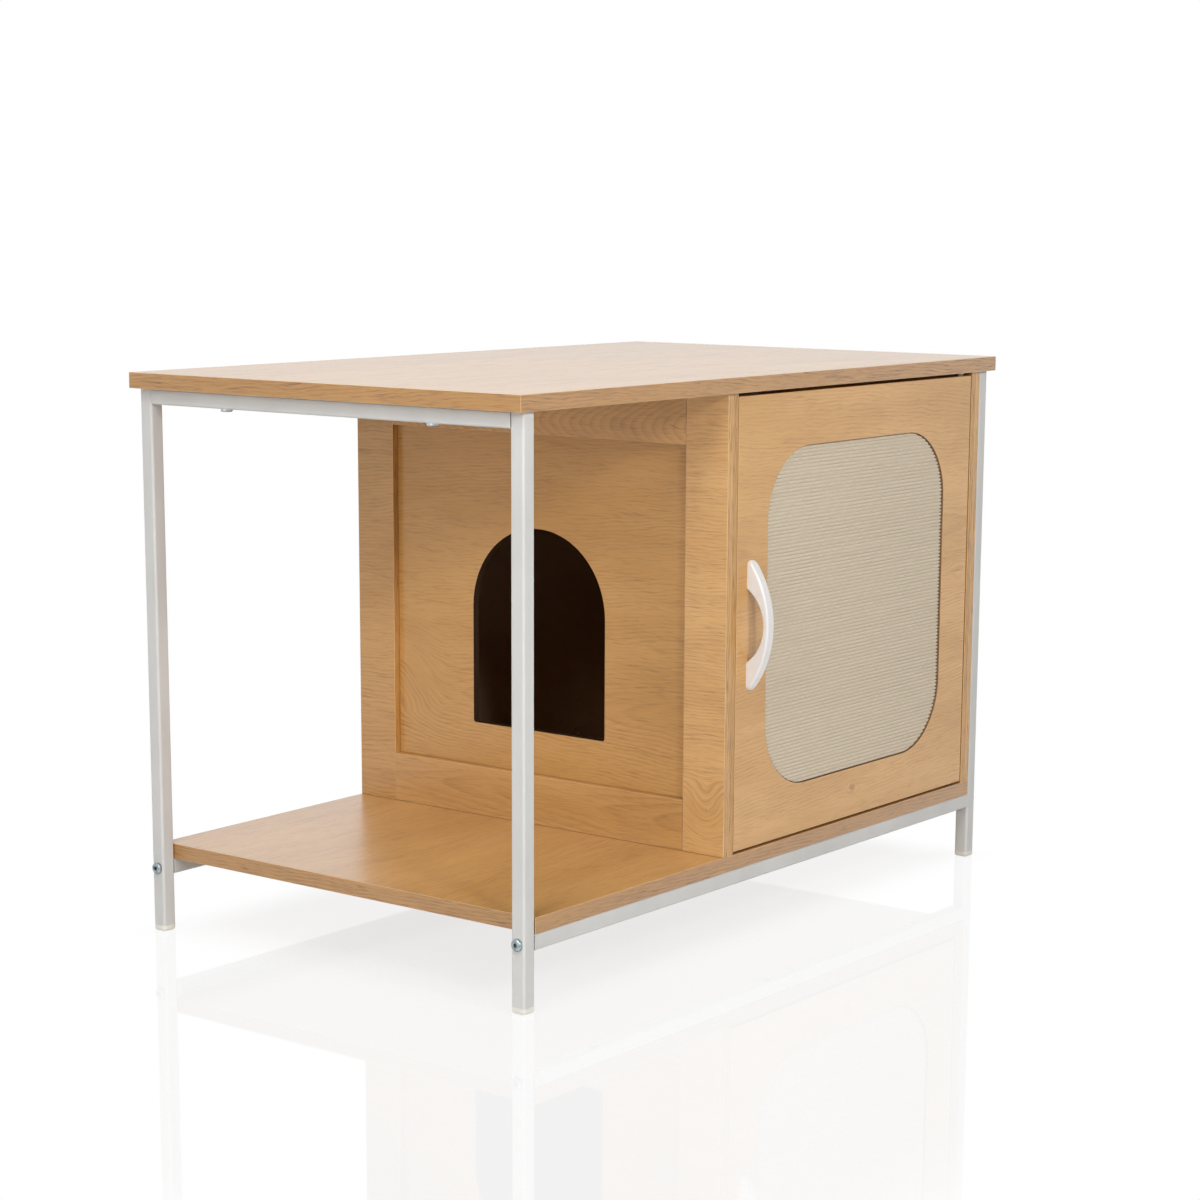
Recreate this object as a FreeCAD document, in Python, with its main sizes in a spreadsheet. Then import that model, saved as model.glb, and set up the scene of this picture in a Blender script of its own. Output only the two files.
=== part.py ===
import FreeCAD, Part
import os
import re
import Sketcher

# Cat house: a side table on a square-tube steel frame, with an open bay at one end and a cupboard
# for a litter tray at the other. The cat walks in through the arch of the divider between them, and
# the cupboard's door carries a scratch pad and swings on two pivot pins.
# Millimetres. +X runs along the length to the cupboard, -Y is the front with the door, +Z is up.
# The origin is the middle of the feet's footprint on the floor.

SHEET_NAME = "Size"

DIMENSIONS = {
    # tabletop and steel frame
    "tabletop_length": 850.0,
    "tabletop_depth": 510.0,
    "tabletop_thickness": 16.0,
    "end_overhang": 10.0,
    "side_overhang": 5.0,
    "frame_height": 564.0,
    "tube_width": 16.0,
    "tube_wall": 1.2,
    "tube_corner_radius": 2.5,
    "rail_underside_height": 59.5,
    "rail_end_clearance": 0.2,
    "foot_height": 6.0,
    "foot_lip": 0.5,
    "foot_corner_radius": 4.0,
    "foot_round": 2.8,
    "foot_plug_length": 14.0,
    "plug_clearance": 0.15,
    # boards and panels
    "bottom_board_thickness": 16.0,
    "board_end_clearance": 0.5,
    "panel_thickness": 9.0,
    "strip_thickness": 8.0,
    "stile_width": 52.0,
    "strip_rail_width": 53.5,
    "bay_length": 305.0,
    "panel_leg_clearance": 0.5,
    "edge_round": 0.6,
    # arched doorway in the divider
    "arch_width": 180.0,
    "arch_height": 218.0,
    "arch_sill_height": 100.5,
    "arch_corner_radius": 3.0,
    # door, window and scratch pad
    "door_thickness": 15.0,
    "door_top_gap": 4.0,
    "door_bottom_gap": 3.0,
    "door_latch_gap": 1.0,
    "door_hinge_gap": 2.5,
    "window_side_margin": 54.0,
    "window_top_margin": 56.0,
    "window_bottom_margin": 52.5,
    "window_radius": 75.0,
    "pad_recess": 1.5,
    "pad_clearance": 0.3,
    "backing_thickness": 3.0,
    "backing_overlap": 10.0,
    # bow handle
    "handle_length": 134.0,
    "handle_width": 12.0,
    "handle_projection": 26.0,
    "handle_bar_thickness": 6.5,
    "handle_foot_length": 30.0,
    "handle_tip_thickness": 2.5,
    "handle_tip_radius": 5.5,
    "handle_round": 2.2,
    "handle_inset": 24.0,
    "handle_screw_spacing": 96.0,
    # pivot hinge
    "hinge_inset": 14.0,
    "pin_diameter": 5.0,
    "pin_depth": 18.0,
    "pin_reach": 8.0,
    "pin_collar_diameter": 9.0,
    "bush_diameter": 8.0,
    "bush_length": 10.0,
    "bush_flange_diameter": 12.0,
    "bush_flange_thickness": 1.0,
    "running_clearance": 0.05,
    "thrust_clearance": 0.1,
    # magnetic catch
    "catch_length": 45.0,
    "catch_depth": 16.0,
    "catch_height": 22.0,
    "catch_offset": 40.0,
    "catch_air_gap": 0.2,
    "magnet_length": 23.0,
    "magnet_thickness": 4.0,
    "magnet_depth": 10.0,
    "pole_thickness": 1.5,
    "pole_protrusion": 2.0,
    "pole_clearance": 0.1,
    "strike_length": 38.0,
    "strike_height": 10.0,
    "strike_thickness": 1.5,
    # corner brackets
    "bracket_leg": 20.0,
    "bracket_width": 15.0,
    "bracket_thickness": 1.5,
    "bracket_hole_offset": 12.0,
    "bracket_offset": 150.0,
    # fasteners: a bite is the depth of the thread in the last piece that it holds
    "screw_clearance": 0.1,
    "cut_overrun": 1.0,
    "end_nut_length": 18.0,
    "rail_bolt_diameter": 6.0,
    "rail_bolt_head_diameter": 12.0,
    "rail_bolt_head_height": 3.6,
    "rail_bolt_bite": 14.0,
    "rail_bolt_socket_width": 4.0,
    "rail_bolt_socket_depth": 2.2,
    "top_screw_diameter": 4.5,
    "top_screw_head_diameter": 12.0,
    "top_screw_head_height": 3.0,
    "top_screw_bite": 10.0,
    "top_screw_offset": 135.0,
    "board_screw_diameter": 4.0,
    "board_screw_head_diameter": 9.0,
    "board_screw_head_height": 2.5,
    "board_screw_bite": 10.0,
    "panel_screw_diameter": 4.0,
    "panel_screw_head_diameter": 8.0,
    "panel_screw_head_height": 3.5,
    "panel_screw_bite": 28.0,
    "panel_screw_offset": 150.0,
    "bracket_screw_diameter": 3.5,
    "bracket_screw_head_diameter": 7.0,
    "bracket_screw_head_height": 2.0,
    "bracket_screw_bite": 6.0,
    "handle_screw_diameter": 4.0,
    "handle_screw_head_diameter": 8.0,
    "handle_screw_head_height": 2.5,
    "handle_screw_bite": 5.0,
    "backing_screw_diameter": 3.0,
    "backing_screw_head_diameter": 6.0,
    "backing_screw_head_height": 1.6,
    "backing_screw_bite": 9.0,
    "catch_screw_diameter": 3.5,
    "catch_screw_head_diameter": 6.5,
    "catch_screw_head_height": 2.0,
    "catch_screw_bite": 9.0,
    "catch_screw_spacing": 34.0,
    "strike_screw_diameter": 3.0,
    "strike_screw_head_diameter": 6.0,
    "strike_screw_bite": 9.0,
}

# Places and sizes that follow from the driving dimensions.
DERIVED = {
    "frame_end": "tabletop_length / 2 - end_overhang",
    "frame_side": "tabletop_depth / 2 - side_overhang",
    "leg_x": "frame_end - tube_width / 2",
    "leg_y": "frame_side - tube_width / 2",
    "tube_bore": "tube_width - 2 * tube_wall",
    "plug_width": "tube_bore - 2 * plug_clearance",
    "foot_width": "tube_width + 2 * foot_lip",
    "rail_z": "rail_underside_height + tube_width / 2",
    "rail_end": "frame_end - tube_width - rail_end_clearance",
    "board_underside": "rail_underside_height + tube_width",
    "board_top": "board_underside + bottom_board_thickness",
    "room_height": "frame_height - board_top",
    "room_z": "board_top + room_height / 2",
    "divider_face": "tube_width + bay_length - frame_end",
    "divider_back": "divider_face + strip_thickness + panel_thickness",
    "side_face": "frame_end - tube_width - panel_leg_clearance",
    "side_back": "side_face - strip_thickness - panel_thickness",
    "back_front": "frame_side - panel_thickness",
    "cupboard_x": "(divider_back + side_back) / 2",
    "arch_spring": "arch_height - arch_width / 2",
    "door_left": "divider_back + door_latch_gap",
    "door_right": "side_back - door_hinge_gap",
    "door_width": "door_right - door_left",
    "door_height": "room_height - door_top_gap - door_bottom_gap",
    "door_bottom": "board_top + door_bottom_gap",
    "door_top": "frame_height - door_top_gap",
    "door_x": "(door_left + door_right) / 2",
    "door_y": "door_thickness / 2 - frame_side",
    "door_z": "(door_bottom + door_top) / 2",
    "door_back": "door_thickness - frame_side",
    "window_width": "door_width - 2 * window_side_margin",
    "window_height": "door_height - window_top_margin - window_bottom_margin",
    "window_drop": "(window_top_margin - window_bottom_margin) / 2",
    "window_z": "door_z - window_drop",
    "pad_thickness": "door_thickness - pad_recess",
    "backing_back": "door_back + backing_thickness",
    "handle_x": "door_left + handle_inset",
    "handle_inner_span": "handle_length - 2 * handle_foot_length",
    "handle_inner_projection": "handle_projection - handle_bar_thickness",
    "handle_crown": "handle_projection - handle_tip_thickness",
    "handle_outer_radius": "(handle_length ^ 2 / 4 + handle_crown ^ 2) / (2 * handle_crown)",
    "handle_inner_radius":
        "(handle_inner_span ^ 2 / 4 + handle_inner_projection ^ 2) / (2 * handle_inner_projection)",
    "hinge_x": "door_right - hinge_inset",
    "catch_x": "divider_back + catch_offset",
    "catch_z": "frame_height - catch_height / 2",
    "pole_front": "door_back + strike_thickness + catch_air_gap",
    "catch_front": "pole_front + pole_protrusion",
    "catch_y": "catch_front + catch_depth / 2",
    "pole_z": "magnet_thickness / 2 + pole_clearance + pole_thickness / 2",
    "slot_height": "magnet_thickness + 2 * pole_thickness + 4 * pole_clearance",
    "slot_length": "magnet_length + 2 * pole_clearance",
    "slot_depth": "magnet_depth + pole_clearance",
    "backing_edge_x": "window_width / 2 + backing_overlap / 2",
    "backing_edge_z": "window_height / 2 + backing_overlap / 2",
    "strike_screw_head_height": "strike_thickness",
}

# Places along a piece, as shares of the length that they divide.
BOARD_SCREW_SHARES = (-0.75, 0.0, 0.75)
BACK_BRACKET_SHARES = (-0.3, 0.3)
BACKING_SCREW_SHARE = 0.25

# A screw head's rounding and cross recess, as shares of the head.
HEAD_ROUND_SHARE = 0.55
RECESS_LENGTH_SHARE = 0.56
RECESS_WIDTH_SHARE = 0.15
RECESS_DEPTH_SHARE = 0.6

Vector = FreeCAD.Vector
Rotation = FreeCAD.Rotation
RIGHT = Vector(1, 0, 0)
BACK = Vector(0, 1, 0)
UP = Vector(0, 0, 1)
NORMALS = {"XY_Plane": UP, "XZ_Plane": BACK, "YZ_Plane": RIGHT}
STRAIGHT = Rotation()
HALF_TURN = 180
QUARTER_TURN = 90
SIDES = (-1, 1)

# Two directions are parallel when one unit vector has this share of its length along the other.
PARALLEL_SHARE = 0.99

doc = FreeCAD.newDocument("cat_house")
sheet = doc.addObject("Spreadsheet::Sheet", SHEET_NAME)
for row, (alias, number) in enumerate(DIMENSIONS.items(), start=1):
    sheet.set(f"A{row}", alias)
    sheet.set(f"B{row}", str(number))
    sheet.setAlias(f"B{row}", alias)
doc.recompute()

nodes = []


# Formulas, placement and sketches

def formula(text):
    """Write a formula of named sizes so that it reads them from the sheet."""
    def written(word):
        name = word.group()
        if name in DIMENSIONS:
            return f"{SHEET_NAME}.{name}"
        if name in DERIVED:
            return f"({formula(DERIVED[name])})"
        return name
    return re.sub(r"[a-z_]+", written, text)


def value(text):
    """Give a formula's number with the sheet as it stands."""
    return float(sheet.evalExpression(formula(text)))


def bind(item, path, text):
    """Tie one property of an item to a formula."""
    item.setExpression(path, formula(text))


def place(item, x="0", y="0", z="0", turn=STRAIGHT):
    """Turn an item about its own origin and tie its place to three formulas."""
    item.Placement = FreeCAD.Placement(Vector(), turn)
    for axis, text in zip("xyz", (x, y, z)):
        bind(item, f"Placement.Base.{axis}", text)
    return item


def node(item, label):
    """Name a finished piece and keep it for writing."""
    item.Label = label
    nodes.append(item)
    return item


def new_body(label):
    """Start a body."""
    body = doc.addObject("PartDesign::Body", label)
    body.Label = label
    return body


def new_sketch(body, role, x="0", y="0", lift="0"):
    """Start a sketch on one of the body's own origin planes, moved within and off that plane."""
    sketch = body.newObject("Sketcher::SketchObject", f"{body.Name}_sketch")
    plane = next(item for item in body.Origin.OriginFeatures if item.Role == role)
    sketch.AttachmentSupport = [(plane, "")]
    sketch.MapMode = "FlatFace"
    for axis, text in zip("xyz", (x, y, lift)):
        bind(sketch, f"AttachmentOffset.Base.{axis}", text)
    return sketch


def fix(sketch, constraint, name, text):
    """Add a dimension to a sketch and tie it to a formula."""
    index = sketch.addConstraint(constraint)
    sketch.renameConstraint(index, name)
    bind(sketch, f"Constraints.{name}", text)


def fix_point(sketch, geometry, end, name, corner):
    """Dimension a point of a sketch from the sketch's origin."""
    for kind, text in zip(("DistanceX", "DistanceY"), corner):
        fix(sketch, Sketcher.Constraint(kind, -1, 1, geometry, end, value(text)), f"{name}_{kind}", text)


def point(corner):
    """Give a corner's place in its sketch."""
    return Vector(value(corner[0]), value(corner[1]), 0)


def outline(sketch, corners, arcs=()):
    """Draw a closed outline through the corners.

    An arc is given as the number of the corner that it starts from, a point that it passes,
    and the direction and distance at which its centre is dimensioned. Other edges are straight.
    """
    bends = {start: (through, direction, centre) for start, through, direction, centre in arcs}
    ends = []
    for number, corner in enumerate(corners):
        first, last = point(corner), point(corners[(number + 1) % len(corners)])
        if number in bends:
            edge = Part.Arc(first, point(bends[number][0]), last)
            index = sketch.addGeometry(edge, False)
            forward = sketch.getPoint(index, 1).isEqual(first, value("screw_clearance"))
            ends.append((index, 1, 2) if forward else (index, 2, 1))
        else:
            ends.append((sketch.addGeometry(Part.LineSegment(first, last), False), 1, 2))
    for number, (index, start, end) in enumerate(ends):
        following, joined_end = ends[(number + 1) % len(ends)][:2]
        sketch.addConstraint(Sketcher.Constraint("Coincident", index, end, following, joined_end))
        fix_point(sketch, index, start, f"corner{number}", corners[number])
        if number in bends:
            direction, centre = bends[number][1:]
            from_origin = Sketcher.Constraint(direction, -1, 1, index, 3, value(centre))
            fix(sketch, from_origin, f"centre{number}", centre)


def rectangle(sketch, across, up):
    """Draw a rectangle about the sketch's origin."""
    left, right = f"-({across}) / 2", f"({across}) / 2"
    low, high = f"-({up}) / 2", f"({up}) / 2"
    outline(sketch, [(left, low), (right, low), (right, high), (left, high)])


# Features

def pad(body, sketch, length, both_ways=False):
    """Raise a sketch into a solid along its normal, or evenly to both sides of its plane."""
    feature = body.newObject("PartDesign::Pad", f"{body.Name}_pad")
    feature.Profile = sketch
    feature.SideType = "Symmetric" if both_ways else "One side"
    bind(feature, "Length", length)
    doc.recompute()
    return feature


def pocket(body, sketch, depth, along_normal=False, both_ways=False):
    """Cut a sketch out of its body, and make sure that something was cut."""
    before = body.Shape.Volume
    feature = body.newObject("PartDesign::Pocket", f"{body.Name}_pocket")
    feature.Profile = sketch
    feature.SideType = "Symmetric" if both_ways else "One side"
    feature.Reversed = along_normal
    bind(feature, "Length", depth)
    doc.recompute()
    if not body.Shape.Volume < before:
        raise RuntimeError(f"a pocket of {body.Label} cut nothing")
    return feature


def turned(body, corners):
    """Turn a half profile, radius and height, about the body's Z axis."""
    sketch = new_sketch(body, "XZ_Plane")
    outline(sketch, corners)
    feature = body.newObject("PartDesign::Revolution", f"{body.Name}_turned")
    feature.Profile = sketch
    feature.ReferenceAxis = (sketch, ["V_Axis"])
    doc.recompute()
    return feature


def edge_runs_along(edge, axis):
    """Tell whether an edge is straight and runs along an axis."""
    if edge.Curve.TypeId != "Part::GeomLine":
        return False
    return abs(edge.tangentAt(edge.FirstParameter).dot(axis)) > PARALLEL_SHARE


def rounded(body, feature, radius, wanted=lambda edge: True):
    """Round the wanted edges of a body's last feature."""
    names = [f"Edge{n}" for n, edge in enumerate(feature.Shape.Edges, start=1) if wanted(edge)]
    fillet = body.newObject("PartDesign::Fillet", f"{body.Name}_round")
    fillet.Base = (feature, names)
    bind(fillet, "Radius", radius)
    doc.recompute()
    return fillet


def board(label, length, depth, height):
    """Make a sharp-edged board about its own middle."""
    body = new_body(label)
    sketch = new_sketch(body, "XY_Plane")
    rectangle(sketch, length, depth)
    return body, pad(body, sketch, height, both_ways=True)


def soft_board(label, length, depth, height):
    """Make a board with all its edges eased."""
    body, feature = board(label, length, depth, height)
    rounded(body, feature, "edge_round")
    return body


def rounded_slab(label, width, thickness, height, radius):
    """Make an upright slab with round corners, seen from the front."""
    body, feature = board(label, width, thickness, height)
    rounded(body, feature, radius, lambda edge: edge_runs_along(edge, BACK))
    return body


# Fasteners: each is made once, then copied to its places

def copy_of(original, x, y, z, turn=STRAIGHT):
    """Place a linked copy of a piece."""
    link = doc.addObject("App::Link", f"{original.Name}_copy")
    link.LinkedObject = original
    link.LinkTransform = False
    return place(link, x, y, z, turn)


def group(label, original, spots):
    """Gather copies of one piece at the given spots."""
    gathered = doc.addObject("Part::Compound", label)
    gathered.Label = label
    gathered.Links = [copy_of(original, *spot) for spot in spots]
    doc.recompute()
    return gathered


def drilled(label, blank, *cutters):
    """Cut fastener holes out of a piece and keep it as a node."""
    blank.Label = f"{label}_blank"
    tool = cutters[0]
    if len(cutters) > 1:
        tool = doc.addObject("Part::Compound", f"{label}_holes")
        tool.Links = cutters
    cut = doc.addObject("Part::Cut", label)
    cut.Base = blank
    cut.Tool = tool
    doc.recompute()
    return node(cut, label)


def cross_recess(body, kind, face, wall):
    """Cut a cross for the driver into a screw's head, leaving the head's wall below it."""
    long_side = f"{kind}_head_diameter * {RECESS_LENGTH_SHARE}"
    short_side = f"{kind}_head_diameter * {RECESS_WIDTH_SHARE}"
    for across, up in ((long_side, short_side), (short_side, long_side)):
        sketch = new_sketch(body, "XY_Plane", lift=face)
        rectangle(sketch, across, up)
        pocket(body, sketch, f"({wall}) * {RECESS_DEPTH_SHARE}", along_normal=True)


def pan_screw(kind, passes):
    """Make a round-headed screw along +Z, with the seat of its head at the origin."""
    head, shank = f"{kind}_head_diameter / 2", f"{kind}_diameter / 2"
    top, tip = f"-{kind}_head_height", f"{passes} + {kind}_bite"
    body = new_body(f"{kind}_pattern")
    feature = turned(body, [("0", top), (head, top), (head, "0"), (shank, "0"), (shank, tip), ("0", tip)])
    level = value(top)
    near = value("screw_clearance")
    rounded(body, feature, f"{kind}_head_height * {HEAD_ROUND_SHARE}",
            lambda edge: abs(edge.CenterOfMass.z - level) < near and edge.Closed)
    return body


def flat_screw(kind, passes):
    """Make a countersunk screw along +Z, with the flat of its head at the origin."""
    head, shank = f"{kind}_head_diameter / 2", f"{kind}_diameter / 2"
    tip = f"{passes} + {kind}_bite"
    body = new_body(f"{kind}_pattern")
    turned(body, [("0", "0"), (head, "0"), (shank, f"{kind}_head_height"), (shank, tip), ("0", tip)])
    cross_recess(body, kind, "0", f"{kind}_head_height")
    return body


def pan_cutter(kind, passes):
    """Make the hole of a round-headed screw."""
    hole = f"{kind}_diameter / 2 + screw_clearance"
    tip = f"{passes} + {kind}_bite + screw_clearance"
    body = new_body(f"{kind}_hole")
    turned(body, [("0", "-cut_overrun"), (hole, "-cut_overrun"), (hole, tip), ("0", tip)])
    return body


def flat_cutter(kind, passes):
    """Make the hole of a countersunk screw."""
    hole, mouth = f"{kind}_diameter / 2 + screw_clearance", f"{kind}_head_diameter / 2 + screw_clearance"
    tip = f"{passes} + {kind}_bite + screw_clearance"
    neck = f"{kind}_head_height"
    body = new_body(f"{kind}_hole")
    turned(body, [("0", "-cut_overrun"), (mouth, "-cut_overrun"), (mouth, "0"), (hole, neck),
                  (hole, tip), ("0", tip)])
    return body


def wood_screws(label, kind, passes, spots, flat=False):
    """Make a set of screws with a cross recess, and give the holes that they need."""
    if flat:
        screw, hole = flat_screw(kind, passes), flat_cutter(kind, passes)
    else:
        screw, hole = pan_screw(kind, passes), pan_cutter(kind, passes)
        cross_recess(screw, kind, f"-{kind}_head_height", f"{kind}_head_height")
    node(group(label, screw, spots), label)
    return group(f"{label}_holes", hole, spots)


def facing(x, y, z):
    """Give the turn that points a fastener along a direction."""
    return Rotation(UP, Vector(x, y, z))


def hex_socket(body, width, depth, face):
    """Cut a six-sided socket into a bolt's head."""
    sketch = new_sketch(body, "XY_Plane", lift=face)
    corner, half = f"{width} / sqrt(3)", f"{width} / 2"
    side = f"{width} / sqrt(12)"
    outline(sketch, [(corner, "0"), (side, half), (f"-{side}", half), (f"-{corner}", "0"),
                     (f"-{side}", f"-{half}"), (side, f"-{half}")])
    pocket(body, sketch, depth, along_normal=True)


rail_bolt_spots = [(f"{end} * frame_end", f"{side} * leg_y", "rail_z", facing(-end, 0, 0))
                   for end in SIDES for side in SIDES]
bolt_passes = "tube_width + rail_end_clearance"
rail_bolt = pan_screw("rail_bolt", bolt_passes)
hex_socket(rail_bolt, "rail_bolt_socket_width", "rail_bolt_socket_depth", "-rail_bolt_head_height")
node(group("rail_bolts", rail_bolt, rail_bolt_spots), "rail_bolts")
rail_bolt_holes = group("rail_bolt_holes", pan_cutter("rail_bolt", bolt_passes), rail_bolt_spots)

top_screw_spots = [(f"{end} * leg_x", f"{side} * top_screw_offset", "frame_height - tube_width", STRAIGHT)
                   for end in SIDES for side in SIDES]
top_screw_holes = wood_screws("tabletop_screws", "top_screw", "tube_width", top_screw_spots)

# The bottom board's screws have their heads inside the rails, reached through wider holes from below.
board_screw_seat = "board_underside - tube_wall"
board_screw_spots = [(f"{share} * rail_end", f"{side} * leg_y", board_screw_seat, STRAIGHT)
                     for side in SIDES for share in BOARD_SCREW_SHARES]
board_screw_holes = wood_screws("bottom_board_screws", "board_screw", "tube_wall", board_screw_spots)
driver_hole = new_body("driver_hole")
driver_radius, driver_reach = "board_screw_head_diameter / 2 + screw_clearance", "tube_wall + cut_overrun"
turned(driver_hole, [("0", "-cut_overrun"), (driver_radius, "-cut_overrun"), (driver_radius, driver_reach),
                     ("0", driver_reach)])
driver_hole_spots = [(x, y, "rail_underside_height", STRAIGHT) for x, y, _, _ in board_screw_spots]
driver_holes = group("driver_holes", driver_hole, driver_hole_spots)

panel_screw_spots = [(middle, f"{side} * panel_screw_offset", "board_underside", STRAIGHT)
                     for middle in ("divider_back - panel_thickness / 2", "side_back + panel_thickness / 2")
                     for side in SIDES]
panel_screw_holes = wood_screws("panel_screws", "panel_screw", "bottom_board_thickness", panel_screw_spots,
                                flat=True)

forward = facing(0, -1, 0)
handle_screw_spots = [("handle_x", "door_back", f"door_z + {side} * handle_screw_spacing / 2", forward)
                      for side in SIDES]
handle_screw_holes = wood_screws("handle_screws", "handle_screw", "door_thickness", handle_screw_spots)

backing_screw_spots = []
for across in SIDES:
    for up in SIDES:
        beside_x, beside_z = f"{across} * backing_edge_x", f"{up} * window_height * {BACKING_SCREW_SHARE}"
        above_x, above_z = f"{across} * window_width * {BACKING_SCREW_SHARE}", f"{up} * backing_edge_z"
        for x, z in ((beside_x, beside_z), (above_x, above_z)):
            backing_screw_spots.append((f"door_x + {x}", "backing_back", f"window_z + {z}", forward))
backing_screw_holes = wood_screws("backing_screws", "backing_screw", "backing_thickness", backing_screw_spots)

catch_underside = "frame_height - catch_height"
catch_screw_spots = [(f"catch_x + {side} * catch_screw_spacing / 2", "catch_y", catch_underside, STRAIGHT)
                     for side in SIDES]
catch_screw_holes = wood_screws("catch_screws", "catch_screw", "catch_height", catch_screw_spots)

strike_screw_spots = [("catch_x", "door_back + strike_thickness", "catch_z", forward)]
strike_screw_holes = wood_screws("strike_screw", "strike_screw", "strike_thickness", strike_screw_spots,
                                 flat=True)


# Corner brackets inside the cupboard: a leg under the top or on the floor, a leg on the wall

def bracket_pattern():
    """Make an angle bracket with its outer corner at the origin, legs along +X and -Z."""
    body = new_body("bracket_pattern")
    sketch = new_sketch(body, "XZ_Plane")
    far, thick = "bracket_leg", "bracket_thickness"
    outline(sketch, [("0", "0"), ("0", f"-{far}"), (thick, f"-{far}"), (thick, f"-{thick}"),
                     (far, f"-{thick}"), (far, "0")])
    pad(body, sketch, "bracket_width", both_ways=True)
    return body


turned_round = Rotation(UP, HALF_TURN)
upside_down = Rotation(RIGHT, HALF_TURN)
to_front = Rotation(UP, -QUARTER_TURN)
to_front_upside_down = to_front * upside_down
bracket_spots = []
for side in SIDES:
    bracket_spots.append(("divider_back", f"{side} * bracket_offset", "frame_height", STRAIGHT))
    bracket_spots.append(("side_back", f"{side} * bracket_offset", "frame_height", turned_round))
for share in BACK_BRACKET_SHARES:
    across = f"cupboard_x + {share} * (side_back - divider_back)"
    bracket_spots.append((across, "back_front", "frame_height", to_front))
    bracket_spots.append((across, "back_front", "board_top", to_front_upside_down))
pair_spots = [("bracket_hole_offset", "0", "-bracket_thickness", STRAIGHT),
              ("bracket_thickness", "0", "-bracket_hole_offset", facing(-1, 0, 0))]
bracket_screw = pan_screw("bracket_screw", "bracket_thickness")
cross_recess(bracket_screw, "bracket_screw", "-bracket_screw_head_height", "bracket_screw_head_height")
screw_pair = group("bracket_screw_pair", bracket_screw, pair_spots)
hole_pair = group("bracket_hole_pair", pan_cutter("bracket_screw", "bracket_thickness"), pair_spots)
node(group("bracket_screws", screw_pair, bracket_spots), "bracket_screws")
bracket_screw_holes = group("bracket_screw_holes", hole_pair, bracket_spots)
drilled("corner_brackets", group("bracket_blanks", bracket_pattern(), bracket_spots), bracket_screw_holes)


# Pivot hinge: pins fixed in the door turn in bushes let into the tabletop and the bottom board

def hinge_bush(label, z, turn):
    """Make a flanged bush whose flange stands on the surface that it is let into."""
    bore = "pin_diameter / 2 + running_clearance"
    body = new_body(label)
    turned(body, [(bore, "-bush_length"), ("bush_diameter / 2", "-bush_length"), ("bush_diameter / 2", "0"),
                  ("bush_flange_diameter / 2", "0"), ("bush_flange_diameter / 2", "bush_flange_thickness"),
                  (bore, "bush_flange_thickness")])
    return node(place(body, "hinge_x", "door_y", z, turn), label)


def hinge_pin(label, gap, z, turn):
    """Make a collared pin that stands in the door's edge and reaches across the gap into its bush."""
    collar = f"{gap} - bush_flange_thickness - thrust_clearance"
    pin, end = "pin_diameter / 2", f"-({gap} + pin_reach)"
    body = new_body(label)
    turned(body, [("0", end), (pin, end), (pin, f"-({collar})"), ("pin_collar_diameter / 2", f"-({collar})"),
                  ("pin_collar_diameter / 2", "0"), (pin, "0"), (pin, "pin_depth"), ("0", "pin_depth")])
    return node(place(body, "hinge_x", "door_y", z, turn), label)


hinge_bush("lower_hinge_bush", "board_top", STRAIGHT)
hinge_bush("upper_hinge_bush", "frame_height", upside_down)
hinge_pin("lower_hinge_pin", "door_bottom_gap", "door_bottom", STRAIGHT)
hinge_pin("upper_hinge_pin", "door_top_gap", "door_top", upside_down)

bush_hole = new_body("bush_hole")
turned(bush_hole, [("0", "-bush_length - screw_clearance"),
                   ("bush_diameter / 2 + screw_clearance", "-bush_length - screw_clearance"),
                   ("bush_diameter / 2 + screw_clearance", "cut_overrun"), ("0", "cut_overrun")])
bush_holes = group("bush_holes", bush_hole, [("hinge_x", "door_y", "board_top", STRAIGHT),
                                             ("hinge_x", "door_y", "frame_height", upside_down)])
pin_hole = new_body("pin_hole")
turned(pin_hole, [("0", "-cut_overrun"), ("pin_diameter / 2 + running_clearance", "-cut_overrun"),
                  ("pin_diameter / 2 + running_clearance", "pin_depth + screw_clearance"),
                  ("0", "pin_depth + screw_clearance")])
pin_holes = group("pin_holes", pin_hole, [("hinge_x", "door_y", "door_bottom", STRAIGHT),
                                          ("hinge_x", "door_y", "door_top", upside_down)])


# Steel frame

def tube(label, role, length):
    """Make a square tube about its own middle, running square to one of its body's planes."""
    body = new_body(label)
    sketch = new_sketch(body, role)
    rectangle(sketch, "tube_width", "tube_width")
    solid = pad(body, sketch, length, both_ways=True)
    rounded(body, solid, "tube_corner_radius", lambda edge: edge_runs_along(edge, NORMALS[role]))
    bore = new_sketch(body, role)
    rectangle(bore, "tube_bore", "tube_bore")
    pocket(body, bore, f"{length} + 2 * cut_overrun", both_ways=True)
    return body


def foot(label):
    """Make a plastic foot: a cap under the leg and a plug in its bore."""
    body = new_body(label)
    cap = new_sketch(body, "XY_Plane")
    rectangle(cap, "foot_width", "foot_width")
    solid = pad(body, cap, "foot_height")
    solid = rounded(body, solid, "foot_corner_radius", lambda edge: edge_runs_along(edge, UP))
    floor_level = value("screw_clearance")
    rounded(body, solid, "foot_round", lambda edge: edge.BoundBox.ZMax < floor_level)
    plug = new_sketch(body, "XY_Plane", lift="foot_height")
    rectangle(plug, "plug_width", "plug_width")
    pad(body, plug, "foot_plug_length")
    return body


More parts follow.
